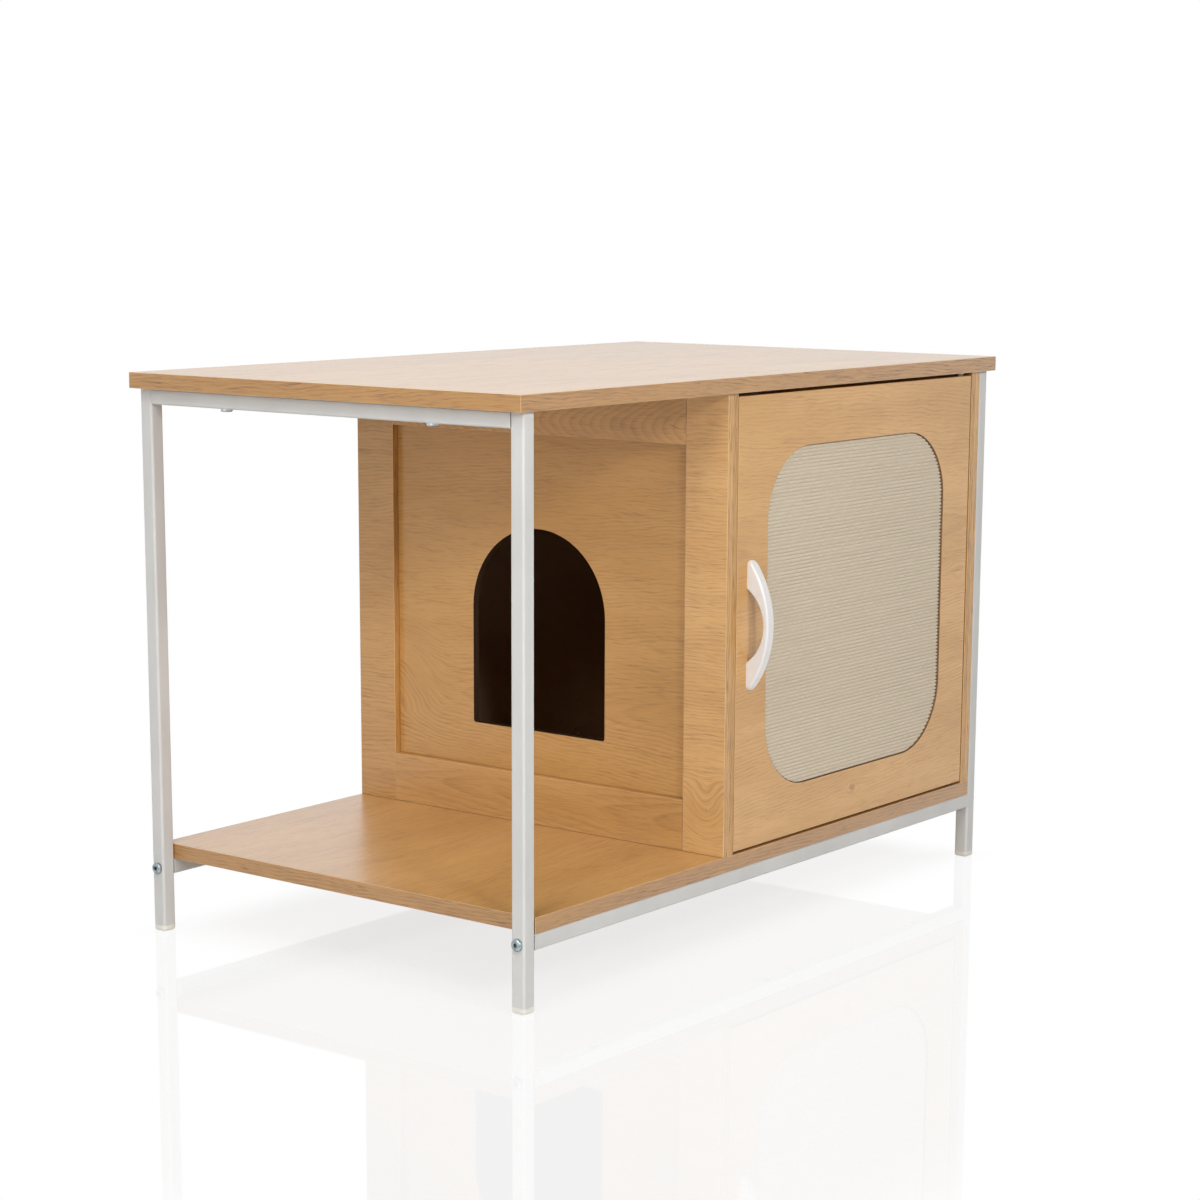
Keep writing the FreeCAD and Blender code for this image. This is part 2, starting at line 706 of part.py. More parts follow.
for end, end_name in zip(SIDES, ("left", "right")):
    for side, side_name in zip(SIDES, ("front", "rear")):
        leg = tube(f"{end_name}_{side_name}_leg", "XY_Plane", "frame_height - foot_height")
        place(leg, f"{end} * leg_x", f"{side} * leg_y", "(frame_height + foot_height) / 2")
        drilled(f"{end_name}_{side_name}_leg", leg, rail_bolt_holes)
        rest = foot(f"{end_name}_{side_name}_foot")
        node(place(rest, f"{end} * leg_x", f"{side} * leg_y"), rest.Label)
    bar = tube(f"{end_name}_top_bar", "XZ_Plane", "2 * (frame_side - tube_width)")
    place(bar, f"{end} * leg_x", "0", "frame_height - tube_width / 2")
    drilled(f"{end_name}_top_bar", bar, top_screw_holes)

end_nut = new_body("end_nut_pattern")
nut_sketch = new_sketch(end_nut, "XY_Plane")
rectangle(nut_sketch, "plug_width", "plug_width")
pad(end_nut, nut_sketch, "end_nut_length")
end_nut_spots = [(f"{end} * rail_end", f"{side} * leg_y", "rail_z", facing(-end, 0, 0))
                 for end in SIDES for side in SIDES]
drilled("rail_end_nuts", group("end_nut_blanks", end_nut, end_nut_spots), rail_bolt_holes)

for side, side_name in zip(SIDES, ("front", "rear")):
    rail = tube(f"{side_name}_rail", "YZ_Plane", "2 * rail_end")
    place(rail, "0", f"{side} * leg_y", "rail_z")
    drilled(f"{side_name}_rail", rail, board_screw_holes, driver_holes)


# Tabletop, bottom board and back panel

top_blank = soft_board("tabletop", "tabletop_length", "tabletop_depth", "tabletop_thickness")
place(top_blank, z="frame_height + tabletop_thickness / 2")
drilled("tabletop", top_blank, top_screw_holes, bracket_screw_holes, catch_screw_holes, bush_holes)

bottom_blank = soft_board("bottom_board", "2 * (frame_end - tube_width - board_end_clearance)",
                          "2 * frame_side", "bottom_board_thickness")
place(bottom_blank, z="board_underside + bottom_board_thickness / 2")
drilled("bottom_board", bottom_blank, board_screw_holes, panel_screw_holes, bracket_screw_holes, bush_holes)

back_blank = soft_board("back_panel", "side_back - divider_back", "panel_thickness", "room_height")
place(back_blank, "cupboard_x", "frame_side - panel_thickness / 2", "room_z")
drilled("back_panel", back_blank, bracket_screw_holes)


# Divider and side panel: a thin panel faced with two stiles and two rails

divider_blank, divider_solid = board("divider_panel", "panel_thickness", "2 * frame_side", "room_height")
arch = new_sketch(divider_blank, "YZ_Plane", y="arch_sill_height - room_height / 2")
arch_left, arch_right = "-arch_width / 2", "arch_width / 2"
outline(arch, [(arch_left, "0"), (arch_right, "0"), (arch_right, "arch_spring"), (arch_left, "arch_spring")],
        arcs=[(2, ("0", "arch_height"), "DistanceY", "arch_spring")])
divider_solid = pocket(divider_blank, arch, "panel_thickness + 2 * cut_overrun", both_ways=True)
sill_level = value("arch_sill_height - room_height / 2")
sill_near = value("arch_corner_radius")
divider_solid = rounded(divider_blank, divider_solid, "arch_corner_radius",
                        lambda edge: edge_runs_along(edge, RIGHT)
                        and abs(edge.CenterOfMass.z - sill_level) < sill_near)
outer_side = value("frame_side") - value("edge_round")
outer_level = value("room_height / 2") - value("edge_round")
rounded(divider_blank, divider_solid, "edge_round",
        lambda edge: abs(edge.CenterOfMass.y) > outer_side or abs(edge.CenterOfMass.z) > outer_level)
place(divider_blank, "divider_back - panel_thickness / 2", "0", "room_z")
drilled("divider_panel", divider_blank, panel_screw_holes, bracket_screw_holes)

side_blank = soft_board("side_panel", "panel_thickness", "2 * frame_side", "room_height")
place(side_blank, "side_back + panel_thickness / 2", "0", "room_z")
drilled("side_panel", side_blank, panel_screw_holes, bracket_screw_holes)

strip_middles = {"divider": "divider_face + strip_thickness / 2", "side": "side_face - strip_thickness / 2"}
for wall, middle in strip_middles.items():
    for side, side_name in zip(SIDES, ("front", "rear")):
        stile = soft_board(f"{wall}_{side_name}_stile", "strip_thickness", "stile_width", "room_height")
        node(place(stile, middle, f"{side} * (frame_side - stile_width / 2)", "room_z"), stile.Label)
    for level_name, level in (("top", "frame_height - strip_rail_width / 2"),
                              ("bottom", "board_top + strip_rail_width / 2")):
        strip = soft_board(f"{wall}_{level_name}_rail", "strip_thickness",
                           "2 * (frame_side - stile_width)", "strip_rail_width")
        node(place(strip, middle, "0", level), strip.Label)


# Door with its window, scratch pad, backing and handle

door_blank, door_solid = board("door_panel", "door_width", "door_thickness", "door_height")
window = new_sketch(door_blank, "XZ_Plane", y="-window_drop")
rectangle(window, "window_width", "window_height")
door_solid = pocket(door_blank, window, "door_thickness + 2 * cut_overrun", both_ways=True)
window_reach = value("window_width / 2") + value("edge_round")
door_solid = rounded(door_blank, door_solid, "window_radius",
                     lambda edge: edge_runs_along(edge, BACK)
                     and abs(edge.CenterOfMass.x) < window_reach)
rounded(door_blank, door_solid, "edge_round")
place(door_blank, "door_x", "door_y", "door_z")
drilled("door_panel", door_blank, pin_holes, handle_screw_holes, backing_screw_holes, strike_screw_holes)

scratch_pad = rounded_slab("scratch_pad", "window_width - 2 * pad_clearance", "pad_thickness",
                           "window_height - 2 * pad_clearance", "window_radius - pad_clearance")
node(place(scratch_pad, "door_x", "door_back - pad_thickness / 2", "window_z"), "scratch_pad")

backing = rounded_slab("pad_backing", "window_width + 2 * backing_overlap", "backing_thickness",
                       "window_height + 2 * backing_overlap", "window_radius + backing_overlap")
place(backing, "door_x", "door_back + backing_thickness / 2", "window_z")
drilled("pad_backing", backing, backing_screw_holes)

handle_blank = new_body("door_handle")
bow = new_sketch(handle_blank, "YZ_Plane")
low_end, high_end = "-handle_length / 2", "handle_length / 2"
low_foot, high_foot = "-handle_inner_span / 2", "handle_inner_span / 2"
inner_top, inner_centre = ("-handle_inner_projection", "0"), "handle_inner_radius - handle_inner_projection"
outer_top, outer_centre = ("-handle_projection", "0"), "handle_outer_radius - handle_projection"
outline(bow, [("0", low_end), ("0", low_foot), ("0", high_foot), ("0", high_end),
              ("-handle_tip_thickness", high_end), ("-handle_tip_thickness", low_end)],
        arcs=[(1, inner_top, "DistanceX", inner_centre), (4, outer_top, "DistanceX", outer_centre)])
handle_solid = pad(handle_blank, bow, "handle_width", both_ways=True)
tip_level = value("handle_length / 2 - handle_tip_radius")
handle_solid = rounded(handle_blank, handle_solid, "handle_tip_radius",
                       lambda edge: edge_runs_along(edge, BACK) and abs(edge.CenterOfMass.z) > tip_level)
door_near = value("handle_tip_thickness / 2")
rounded(handle_blank, handle_solid, "handle_round",
        lambda edge: edge.BoundBox.YMin < -door_near and not edge_runs_along(edge, BACK))
place(handle_blank, "handle_x", "-frame_side", "door_z")
drilled("door_handle", handle_blank, handle_screw_holes)


# Magnetic catch under the tabletop and its strike plate on the door

catch_blank = soft_board("catch_housing", "catch_length", "catch_depth", "catch_height")
slot = new_sketch(catch_blank, "XZ_Plane", lift="catch_depth / 2")
rectangle(slot, "slot_length", "slot_height")
pocket(catch_blank, slot, "slot_depth")
place(catch_blank, "catch_x", "catch_y", "catch_z")
drilled("catch_housing", catch_blank, catch_screw_holes)

magnet = soft_board("catch_magnet", "magnet_length", "magnet_depth", "magnet_thickness")
node(place(magnet, "catch_x", "catch_front + magnet_depth / 2", "catch_z"), "catch_magnet")

pole = soft_board("pole_pattern", "magnet_length", "magnet_depth + pole_protrusion", "pole_thickness")
pole_y = "pole_front + (magnet_depth + pole_protrusion) / 2"
pole_spots = [("catch_x", pole_y, f"catch_z + {side} * pole_z", STRAIGHT) for side in SIDES]
node(group("catch_pole_plates", pole, pole_spots), "catch_pole_plates")

strike_blank = rounded_slab("strike_plate", "strike_length", "strike_thickness", "strike_height",
                            "strike_thickness")
place(strike_blank, "catch_x", "door_back + strike_thickness / 2", "catch_z")
drilled("strike_plate", strike_blank, strike_screw_holes)


# Checks and writing

doc.recompute()
for item in doc.Objects:
    if "Invalid" in item.State or "Error" in item.State:
        raise RuntimeError(f"{item.Label} failed: {item.State}")
for item in nodes:
    if item.Shape.isNull() or not item.Shape.isValid():
        raise RuntimeError(f"{item.Label} has no valid shape")

os.makedirs("parts", exist_ok=True)
for item in nodes:
    item.Shape.exportStep(f"parts/{item.Label}.step")
    print(f"{item.Label}: {len(item.Shape.Solids)} solid(s), {item.Shape.Volume:.0f} mm3")
print(f"{len(nodes)} nodes")
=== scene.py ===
"""Looks of the cat house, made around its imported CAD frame.

Oak-look boards stand in a white tube frame. The door carries a ribbed sisal scratch pad and a bow
handle. Lengths are in metres, X runs along the tabletop, the front faces -Y, and Z is up.
"""

import logging
import math
from abc import ABC, abstractmethod
from dataclasses import dataclass, field
from enum import Enum
from typing import Any, Callable, Mapping, Sequence, Union

import bpy
import numpy as np
from bpy.types import Material, Node, NodeSocket, NodeTree, Object
from mathutils import Matrix, Vector


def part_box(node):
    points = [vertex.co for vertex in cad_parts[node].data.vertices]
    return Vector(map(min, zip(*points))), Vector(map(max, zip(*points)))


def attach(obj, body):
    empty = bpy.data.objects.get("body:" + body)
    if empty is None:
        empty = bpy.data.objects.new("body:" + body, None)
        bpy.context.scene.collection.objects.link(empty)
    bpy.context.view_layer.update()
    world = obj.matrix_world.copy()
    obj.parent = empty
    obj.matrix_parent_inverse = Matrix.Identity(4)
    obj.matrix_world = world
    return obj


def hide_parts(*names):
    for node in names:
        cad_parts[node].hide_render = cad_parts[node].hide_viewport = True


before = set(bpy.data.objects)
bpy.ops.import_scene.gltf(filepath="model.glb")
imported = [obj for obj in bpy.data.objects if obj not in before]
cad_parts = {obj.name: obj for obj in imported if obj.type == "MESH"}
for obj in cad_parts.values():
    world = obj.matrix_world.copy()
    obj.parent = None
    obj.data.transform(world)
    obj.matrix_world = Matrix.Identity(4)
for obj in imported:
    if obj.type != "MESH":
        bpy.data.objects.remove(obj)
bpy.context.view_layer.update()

LOG = logging.getLogger("cat_house")
MM = 0.001
SEED = 7
WHITE = (1.0, 1.0, 1.0, 1.0)
NOISE_MEAN = 0.5

Colour = tuple[float, float, float, float]
Amount = Union["Wire", float]
Point = tuple[float, float, float]

SRGB_OFFSET = 0.055
SRGB_POWER = 2.4
BYTE = 255.0


def paint(red: int, green: int, blue: int) -> Colour:
    """Turn an on-screen colour, not quite black, into the linear light that Blender works in."""
    shown = np.array([red, green, blue]) / BYTE
    linear = ((shown + SRGB_OFFSET) / (1 + SRGB_OFFSET)) ** SRGB_POWER
    return (*linear.tolist(), 1.0)


class Axis(Enum):
    """The three directions of the part, as places in a vector."""

    X = 0
    Y = 1
    Z = 2


class Cut(Enum):
    """How the grain lies on a board: (along, across) for faces square to X, Y and Z."""

    FLAT_BOARD = ((Axis.Y, Axis.Z), (Axis.X, Axis.Z), (Axis.X, Axis.Y))
    FRONT_BOARD = ((Axis.Z, Axis.Y), (Axis.X, Axis.Z), (Axis.X, Axis.Y))
    END_BOARD = ((Axis.Y, Axis.Z), (Axis.Z, Axis.X), (Axis.Y, Axis.X))


def operator(operation: str, reflected: bool = False) -> Callable[["Wire", Amount], "Wire"]:
    """Make an operator that adds a Math node, with the wire on the right when reflected."""

    def combine(wire: "Wire", other: Amount) -> "Wire":
        """Join the wire with another wire or a number."""
        sides = (other, wire) if reflected else (wire, other)
        return wire.shader.math(operation, *sides)

    return combine


@dataclass(frozen=True)
class Wire:
    """An output of a shader node, with the sums that add Math nodes."""

    shader: "Shader"
    socket: NodeSocket

    __add__ = operator("ADD")
    __radd__ = operator("ADD", reflected=True)
    __sub__ = operator("SUBTRACT")
    __rsub__ = operator("SUBTRACT", reflected=True)
    __mul__ = operator("MULTIPLY")
    __rmul__ = operator("MULTIPLY", reflected=True)
    __truediv__ = operator("DIVIDE")
    __rtruediv__ = operator("DIVIDE", reflected=True)
    __pow__ = operator("POWER")

    def __abs__(self) -> "Wire":
        """Drop the sign."""
        return self.shader.math("ABSOLUTE", self)


class Shader:
    """The nodes of a material or of the world, added one by one."""

    COLOUR_A = 6
    COLOUR_B = 7
    COLOUR_RESULT = 2

    def __init__(self, tree: NodeTree) -> None:
        """Start with a tree that is emptied first."""
        self.tree = tree
        self.tree.nodes.clear()

    def add(
        self,
        kind: str,
        settings: Mapping[str, Any] | None = None,
        inputs: Mapping[str | int, Any] | None = None,
    ) -> Node:
        """Add a node of any kind.

        Args:
            kind: The node's type.
            settings: Its own settings, which are set first.
            inputs: Values or wires for its sockets, by name or place.

        Returns:
            The new node.
        """
        node = self.tree.nodes.new(kind)
        for name, value in (settings or {}).items():
            setattr(node, name, value)
        for key, value in (inputs or {}).items():
            socket = node.inputs[key]
            if isinstance(value, Wire):
                self.tree.links.new(value.socket, socket)
            else:
                socket.default_value = value
        return node

    def wire(self, node: Node, output: str | int = 0) -> Wire:
        """Take one output of a node as a wire."""
        return Wire(self, node.outputs[output])

    def math(self, operation: str, first: Amount, second: Amount = 0.0) -> Wire:
        """Add a Math node on two values."""
        node = self.add("ShaderNodeMath", {"operation": operation}, {0: first, 1: second})
        return self.wire(node)

    def place(self) -> tuple[Wire, Wire, Wire]:
        """Give the place on the piece as X, Y and Z wires, in metres."""
        return self.split(self.wire(self.add("ShaderNodeTexCoord"), "Object"))

    def facing(self) -> tuple[Wire, Wire, Wire]:
        """Give the piece's own surface direction as X, Y and Z wires."""
        return self.split(self.wire(self.add("ShaderNodeTexCoord"), "Normal"))

    def split(self, vector: Wire) -> tuple[Wire, Wire, Wire]:
        """Part a vector into its three values."""
        node = self.add("ShaderNodeSeparateXYZ", inputs={"Vector": vector})
        return (self.wire(node, "X"), self.wire(node, "Y"), self.wire(node, "Z"))

    def join(self, values: Sequence[Amount]) -> Wire:
        """Make a vector of three values."""
        node = self.add("ShaderNodeCombineXYZ", inputs=dict(enumerate(values)))
        return self.wire(node)

    def noise(self, values: Sequence[Amount], detail: float = 2.0, roughness: float = 0.5) -> Wire:
        """Add cloud noise, about 0.5 on average, at a point whose units are one lump apart."""
        point = self.join(values)
        inputs = {"Vector": point, "Scale": 1.0, "Detail": detail, "Roughness": roughness}
        return self.wire(self.add("ShaderNodeTexNoise", inputs=inputs), "Fac")

    def cells(self, values: Sequence[Amount]) -> Wire:
        """Add cell noise: the distance to the nearest of scattered points one unit apart."""
        inputs = {"Vector": self.join(values), "Scale": 1.0}
        return self.wire(self.add("ShaderNodeTexVoronoi", inputs=inputs), "Distance")

    def chance(self, value: Wire) -> Wire:
        """Give one random value from 0 to 1 for each whole number."""
        node = self.add("ShaderNodeTexWhiteNoise", {"noise_dimensions": "1D"}, {"W": value})
        return self.wire(node, "Value")

    def rise(self, value: Wire, low: float, high: float) -> Wire:
        """Go smoothly from 0 at the low value to 1 at the high one."""
        node = self.add(
            "ShaderNodeMapRange",
            {"interpolation_type": "SMOOTHSTEP"},
            {"Value": value, "From Min": low, "From Max": high},
        )
        return self.wire(node)

    def mix(self, share: Amount, first: Any, second: Any) -> Wire:
        """Mix two colours, or wires of them: a share of 0 gives the first, and 1 the second."""
        node = self.add(
            "ShaderNodeMix",
            {"data_type": "RGBA"},
            {0: share, self.COLOUR_A: first, self.COLOUR_B: second},
        )
        return self.wire(node, self.COLOUR_RESULT)

    def bump(self, height: Wire, strength: float, depth: float) -> Wire:
        """Tilt the surface by a height of 0 to 1, by a strength and the depth of 1 in metres."""
        inputs = {"Strength": strength, "Distance": depth, "Height": height}
        return self.wire(self.add("ShaderNodeBump", inputs=inputs))

    def surface(
        self, colour: Wire, roughness: Wire, normal: Wire, others: Mapping[str, Any] | None = None
    ) -> None:
        """Finish the material with a Principled shader, with its other sockets by name."""
        inputs = {"Base Color": colour, "Roughness": roughness, "Normal": normal, **(others or {})}
        self.output(self.wire(self.add("ShaderNodeBsdfPrincipled", inputs=inputs)))

    def layer(self, share: Wire, under: Node, over: Node) -> Node:
        """Lay a share of one shader node over another."""
        inputs = {0: share, 1: self.wire(under), 2: self.wire(over)}
        return self.add("ShaderNodeMixShader", inputs=inputs)

    def output(self, shader: Wire) -> None:
        """Send a shader to the material's surface."""
        self.add("ShaderNodeOutputMaterial", inputs={"Surface": shader})


class Finish(ABC):
    """A surface finish that can be made into a material."""

    @abstractmethod
    def shade(self, shader: Shader) -> None:
        """Add the finish's nodes to a shader."""

    def material(self, name: str) -> Material:
        """Make the finish's material under a name."""
        material = bpy.data.materials.new(name)
        material.use_nodes = True
        self.shade(Shader(material.node_tree))
        return material


@dataclass(frozen=True)
class Grain:
    """A place in the wood, as wires: along the grain, across it and into the board, in metres."""

    along: Wire
    across: Wire
    depth: Wire


@dataclass(frozen=True)
class Streak:
    """Noise in lumps of a length and a width along the grain, which it can sway by a reach."""

    length: float
    width: float
    seed: float
    detail: float = 2.0
    reach: float = 0.0

    def draw(self, shader: Shader, grain: Grain) -> Wire:
        """Give the noise at a place in the wood, about 0.5 on average."""
        point = (grain.along / self.length, grain.across / self.width, grain.depth + self.seed)
        return shader.noise(point, self.detail)


@dataclass(frozen=True)
class Speckle:
    """Noise in small lumps, by how many lie in a metre along X, Y and Z."""

    rates: Point
    detail: float = 2.0

    def draw(self, shader: Shader) -> Wire:
        """Give the noise at a place on the piece, about 0.5 on average."""
        point = [value * rate for value, rate in zip(shader.place(), self.rates)]
        return shader.noise(point, self.detail)


@dataclass(frozen=True)
class Knot:
    """A small knot in the printed grain, by its place along and across the grain."""

    along: float
    across: float
    core: float = 3.2 * MM
    reach: float = 16 * MM
    stretch: float = 1.7
    push: float = 0.9
    lift: float = 0.0
    core_share: float = 0.42
    ring_share: float = 0.25
    core_range: tuple[float, float] = (0.4, 1.6)

    def distance(self, grain: Grain) -> Wire:
        """Measure the oval distance from the knot, longer along the grain."""
        run = (grain.along - self.along) / self.stretch
        gap = grain.across - self.across
        return (run * run + gap * gap) ** 0.5

    def near(self, shader: Shader, grain: Grain) -> Wire:
        """Give 1 at the knot's middle, falling smoothly to 0 at its reach."""
        return 1 - shader.rise(self.distance(grain), 0.0, self.reach)

    def shove(self, shader: Shader, grain: Grain) -> Wire:
        """Say how far the knot draws the grain to itself or lifts it."""
        pull = (grain.across - self.across) * self.push + self.lift
        return pull * self.near(shader, grain)

    def mark(self, shader: Shader, grain: Grain) -> Wire:
        """Darken the knot's core, and less so the rings around it."""
        away = self.distance(grain)
        low, high = self.core_range
        core = 1 - shader.rise(away, self.core * low, self.core * high)
        ring = shader.math("PINGPONG", away, self.core) / self.core
        return core * self.core_share + ring * self.near(shader, grain) * self.ring_share


@dataclass(frozen=True)
class Crack:
    """A thin dark crack in the printed grain, by its middle, which climbs as it runs."""

    along: float
    across: float
    length: float = 24 * MM
    width: float = 0.9 * MM
    slope: float = 0.28
    share: float = 0.75

    def mark(self, shader: Shader, grain: Grain) -> Wire:
        """Darken a line that thins out towards both ends."""
        run = grain.along - self.along
        off = abs(grain.across - self.across - run * self.slope) / self.width
        taper = 1 - shader.rise(abs(run), 0.0, self.length / 2)
        return (1 - shader.rise(off, 0.0, 1.0)) * taper * self.share


@dataclass(frozen=True)
class Seam:
    """The dark line of a butt joint, also painted shade in a recess: the last bit of a board before
    it meets its neighbour.
    """

    axis: Axis
    place: float
    width: float = 0.9 * MM
    share: float = 0.7
    outward: float = 0.0

    OUTWARD_SHARE = 0.5

    def mark(self, shader: Shader) -> Wire:
        """Darken the board towards the joint, on all faces or on those that look outward."""
        gap = self.place - abs(shader.place()[self.axis.value])
        dark = (1 - shader.rise(abs(gap), 0.0, self.width)) * self.share
        if self.outward:
            ahead = shader.facing()[Axis.X.value] * self.outward
            dark = dark * shader.math("GREATER_THAN", ahead, self.OUTWARD_SHARE)
        return dark


@dataclass(frozen=True)
class Cutout:
    """An opening cut through a board along an axis, whose cut edge is bare fibreboard."""

    through: Axis
    low: Point
    high: Point
    margin: float = 0.5 * MM

    def mask(self, shader: Shader, faces: Sequence[Wire]) -> Wire:
        """Give 1 on the cut edge and 0 elsewhere, from masks of the faces square to X, Y and Z."""
        place = shader.place()
        inside = 1 - faces[self.through.value]
        for axis in Axis:
            if axis is not self.through:
                low = self.low[axis.value] - self.margin
                high = self.high[axis.value] + self.margin
                inside = inside * shader.math("GREATER_THAN", place[axis.value], low)
                inside = inside * shader.math("LESS_THAN", place[axis.value], high)
        return inside


@dataclass(frozen=True)
class OakLaminate(Finish):
    """Oak-look laminate: growth rings, fine lines, short dark pores and slow changes of tone."""

    cut: Cut
    shift: float
    heart: float = 0.0
    taper_share: float = 0.055
    knots: tuple[Knot, ...] = ()
    cracks: tuple[Crack, ...] = ()
    seams: tuple[Seam, ...] = ()
    ring_share: float = 0.3
    line_share: float = 0.14
    pore_share: float = 0.24
    pale: Colour = paint(207, 159, 96)
    honey: Colour = paint(193, 144, 80)
    pore_and_shade: Colour = paint(118, 75, 36)
    # Lighter colour of the eased edges: partly wear, partly painted highlight along the arrises.
    wear_and_highlight: Colour = paint(226, 186, 134)
    wear_and_highlight_share: float = 0.5
    edge_tint: Colour = paint(161, 113, 46)
    edge_share: float = 0.0
    edge_axes: tuple[Axis, ...] = ()
    shine: float = 0.2
    # Default cut-edge colours, used on the arch: bare board, darkened further as painted shade from
    # the dark inside.
    bare: Colour = paint(62, 45, 32)
    bare_fibre: Colour = paint(44, 31, 21)
    cutout: Cutout | None = None
    raw_side: Axis | None = None

    CLOUD = Streak(300 * MM, 70 * MM, 1.0, 3.0)
    SWAYS = (
        Streak(600 * MM, 200 * MM, 3.0, 1.0, reach=34 * MM),
        Streak(60 * MM, 22 * MM, 5.0, 1.0, reach=8 * MM),
        Streak(15 * MM, 7 * MM, 6.0, 1.0, reach=1.4 * MM),
    )
    FADE = Streak(220 * MM, 30 * MM, 7.0)
    LINE = Streak(60 * MM, 2.2 * MM, 9.0, 1.0)
    PORE = Streak(20 * MM, 0.8 * MM, 11.0, 1.0)
    CLUSTER = Streak(80 * MM, 9 * MM, 13.0)
    FIBRE = Streak(14 * MM, 0.5 * MM, 15.0)

    HEART_DEPTH = 22 * MM
    RING_PITCH = 4.0 * MM
    RING_END_RANGE = (0.82, 1.0)
    FADE_RANGE = (0.25, 0.65)
    CLOUD_RANGE = (0.3, 0.7)
    LINE_RANGE = (0.0, 0.06)
    EDGE_STROKE_SHARE = 1.1
    PORE_RANGE = (0.58, 0.70)
    CLUSTER_SHARE = 0.4
    RING_PORE_SHARE = 0.1
    FACE_SHARE = 0.6
    FLAT_RANGE = (0.9, 0.985)
    GLOSS = 0.42
    PORE_ROUGHNESS = 0.1
    CLOUD_ROUGHNESS = 0.08
    COAT_ROUGHNESS = 0.27
    COAT_IOR = 1.5
    PORE_RELIEF_SHARE = 0.7
    FIBRE_RELIEF_SHARE = 0.3
    RELIEF = (0.16, 0.12 * MM)

    def shade(self, shader: Shader) -> None:
        """Add the grain, its colours, its sheen and its fine relief."""
        faces = self.faces(shader)
        straight = self.lay(shader, faces)
        grain = self.bend(shader, straight)
        rings = self.rings(shader, grain)
        pores = self.pores(shader, grain, rings)
        off_line = abs(self.LINE.draw(shader, grain) - NOISE_MEAN)
        lines = 1 - shader.rise(off_line, *self.LINE_RANGE)
        cloud = self.CLOUD.draw(shader, straight)
        fibre = self.FIBRE.draw(shader, grain)
        colour = shader.mix(shader.rise(cloud, *self.CLOUD_RANGE), self.honey, self.pale)
        strokes = rings * self.ring_share + lines * self.line_share + pores * self.pore_share
        for axis in self.edge_axes:
            edge = faces[axis.value]
            colour = shader.mix(edge * self.edge_share, colour, self.edge_tint)
            strokes = strokes * (1 + edge * self.EDGE_STROKE_SHARE)
        colour = shader.mix(strokes, colour, self.pore_and_shade)
        for flaw in (*self.knots, *self.cracks):
            colour = shader.mix(flaw.mark(shader, straight), colour, self.pore_and_shade)
        # Eased edges are lightened: partly wear, partly painted highlight.
        colour = shader.mix(self.eased(shader) * self.wear_and_highlight_share, colour, self.wear_and_highlight)
        # Seams darken with the pore colour: joint lines, and on the panels also painted shade in
        # the recess corners.
        for seam in self.seams:
            colour = shader.mix(seam.mark(shader), colour, self.pore_and_shade)
        raw = self.raw(shader, faces)
        coat: Amount = 1.0
        if raw:
            colour = shader.mix(raw, colour, shader.mix(fibre, self.bare, self.bare_fibre))
            coat = 1 - raw
        sheen = self.GLOSS + pores * self.PORE_ROUGHNESS
        sheen = sheen + (cloud - NOISE_MEAN) * self.CLOUD_ROUGHNESS
        relief = 1 - pores * self.PORE_RELIEF_SHARE - fibre * self.FIBRE_RELIEF_SHARE
        normal = shader.bump(relief, *self.RELIEF)
        others = {
            "Specular IOR Level": self.shine,
            "Coat Weight": coat,
            "Coat Roughness": self.COAT_ROUGHNESS,
            "Coat IOR": self.COAT_IOR,
        }
        shader.surface(colour, sheen, normal, others)

    def faces(self, shader: Shader) -> tuple[Wire, Wire, Wire]:
        """Give masks of the faces that look along X, Y and Z, each 0 or 1."""
        x, y, _ = shader.facing()
        x_face = shader.math("GREATER_THAN", abs(x), self.FACE_SHARE)
        y_face = shader.math("GREATER_THAN", abs(y), self.FACE_SHARE) * (1 - x_face)
        return (x_face, y_face, 1 - x_face - y_face)

    def eased(self, shader: Shader) -> Wire:
        """Give 1 on the eased edges, which look along no axis, and 0 on the flats."""
        x, y, z = (abs(value) for value in shader.facing())
        straightest = shader.math("MAXIMUM", shader.math("MAXIMUM", x, y), z)
        return 1 - shader.rise(straightest, *self.FLAT_RANGE)

    def lay(self, shader: Shader, faces: Sequence[Wire]) -> Grain:
        """Find the place in straight-grained wood, for the way that each face looks."""
        place = shader.place()
        along = sum(mask * place[axes[0].value] for mask, axes in zip(faces, self.cut.value))
        across = sum(mask * place[axes[1].value] for mask, axes in zip(faces, self.cut.value))
        depth = sum(mask * value for mask, value in zip(faces, place))
        return Grain(along, across, depth + self.shift)

    def bend(self, shader: Shader, straight: Grain) -> Grain:
        """Let straight grain wander slowly, ripple, tremble, and part around its knots."""
        across = straight.across
        for sway in self.SWAYS:
            across = across + (sway.draw(shader, straight) - NOISE_MEAN) * sway.reach
        for knot in self.knots:
            across = across - knot.shove(shader, straight)
        return Grain(straight.along, across, straight.depth)

    def rings(self, shader: Shader, grain: Grain) -> Wire:
        """Draw growth rings as a flat cut through a slim cone shows them.

        The ring number is the root of (gap to the heart squared plus depth squared), plus a small
        share of the length, over the pitch. Each ring darkens slowly and ends quickly.

        Args:
            shader: The shader that the nodes go to.
            grain: The place in the wood.

        Returns:
            The darkness of the rings.
        """
        gap = grain.across - self.heart
        radius = (gap * gap + self.HEART_DEPTH**2) ** 0.5
        count = (radius + (grain.along + self.shift) * self.taper_share) / self.RING_PITCH
        phase = shader.math("FRACT", count)
        late = phase * phase * (1 - shader.rise(phase, *self.RING_END_RANGE))
        return late * shader.rise(self.FADE.draw(shader, grain), *self.FADE_RANGE)

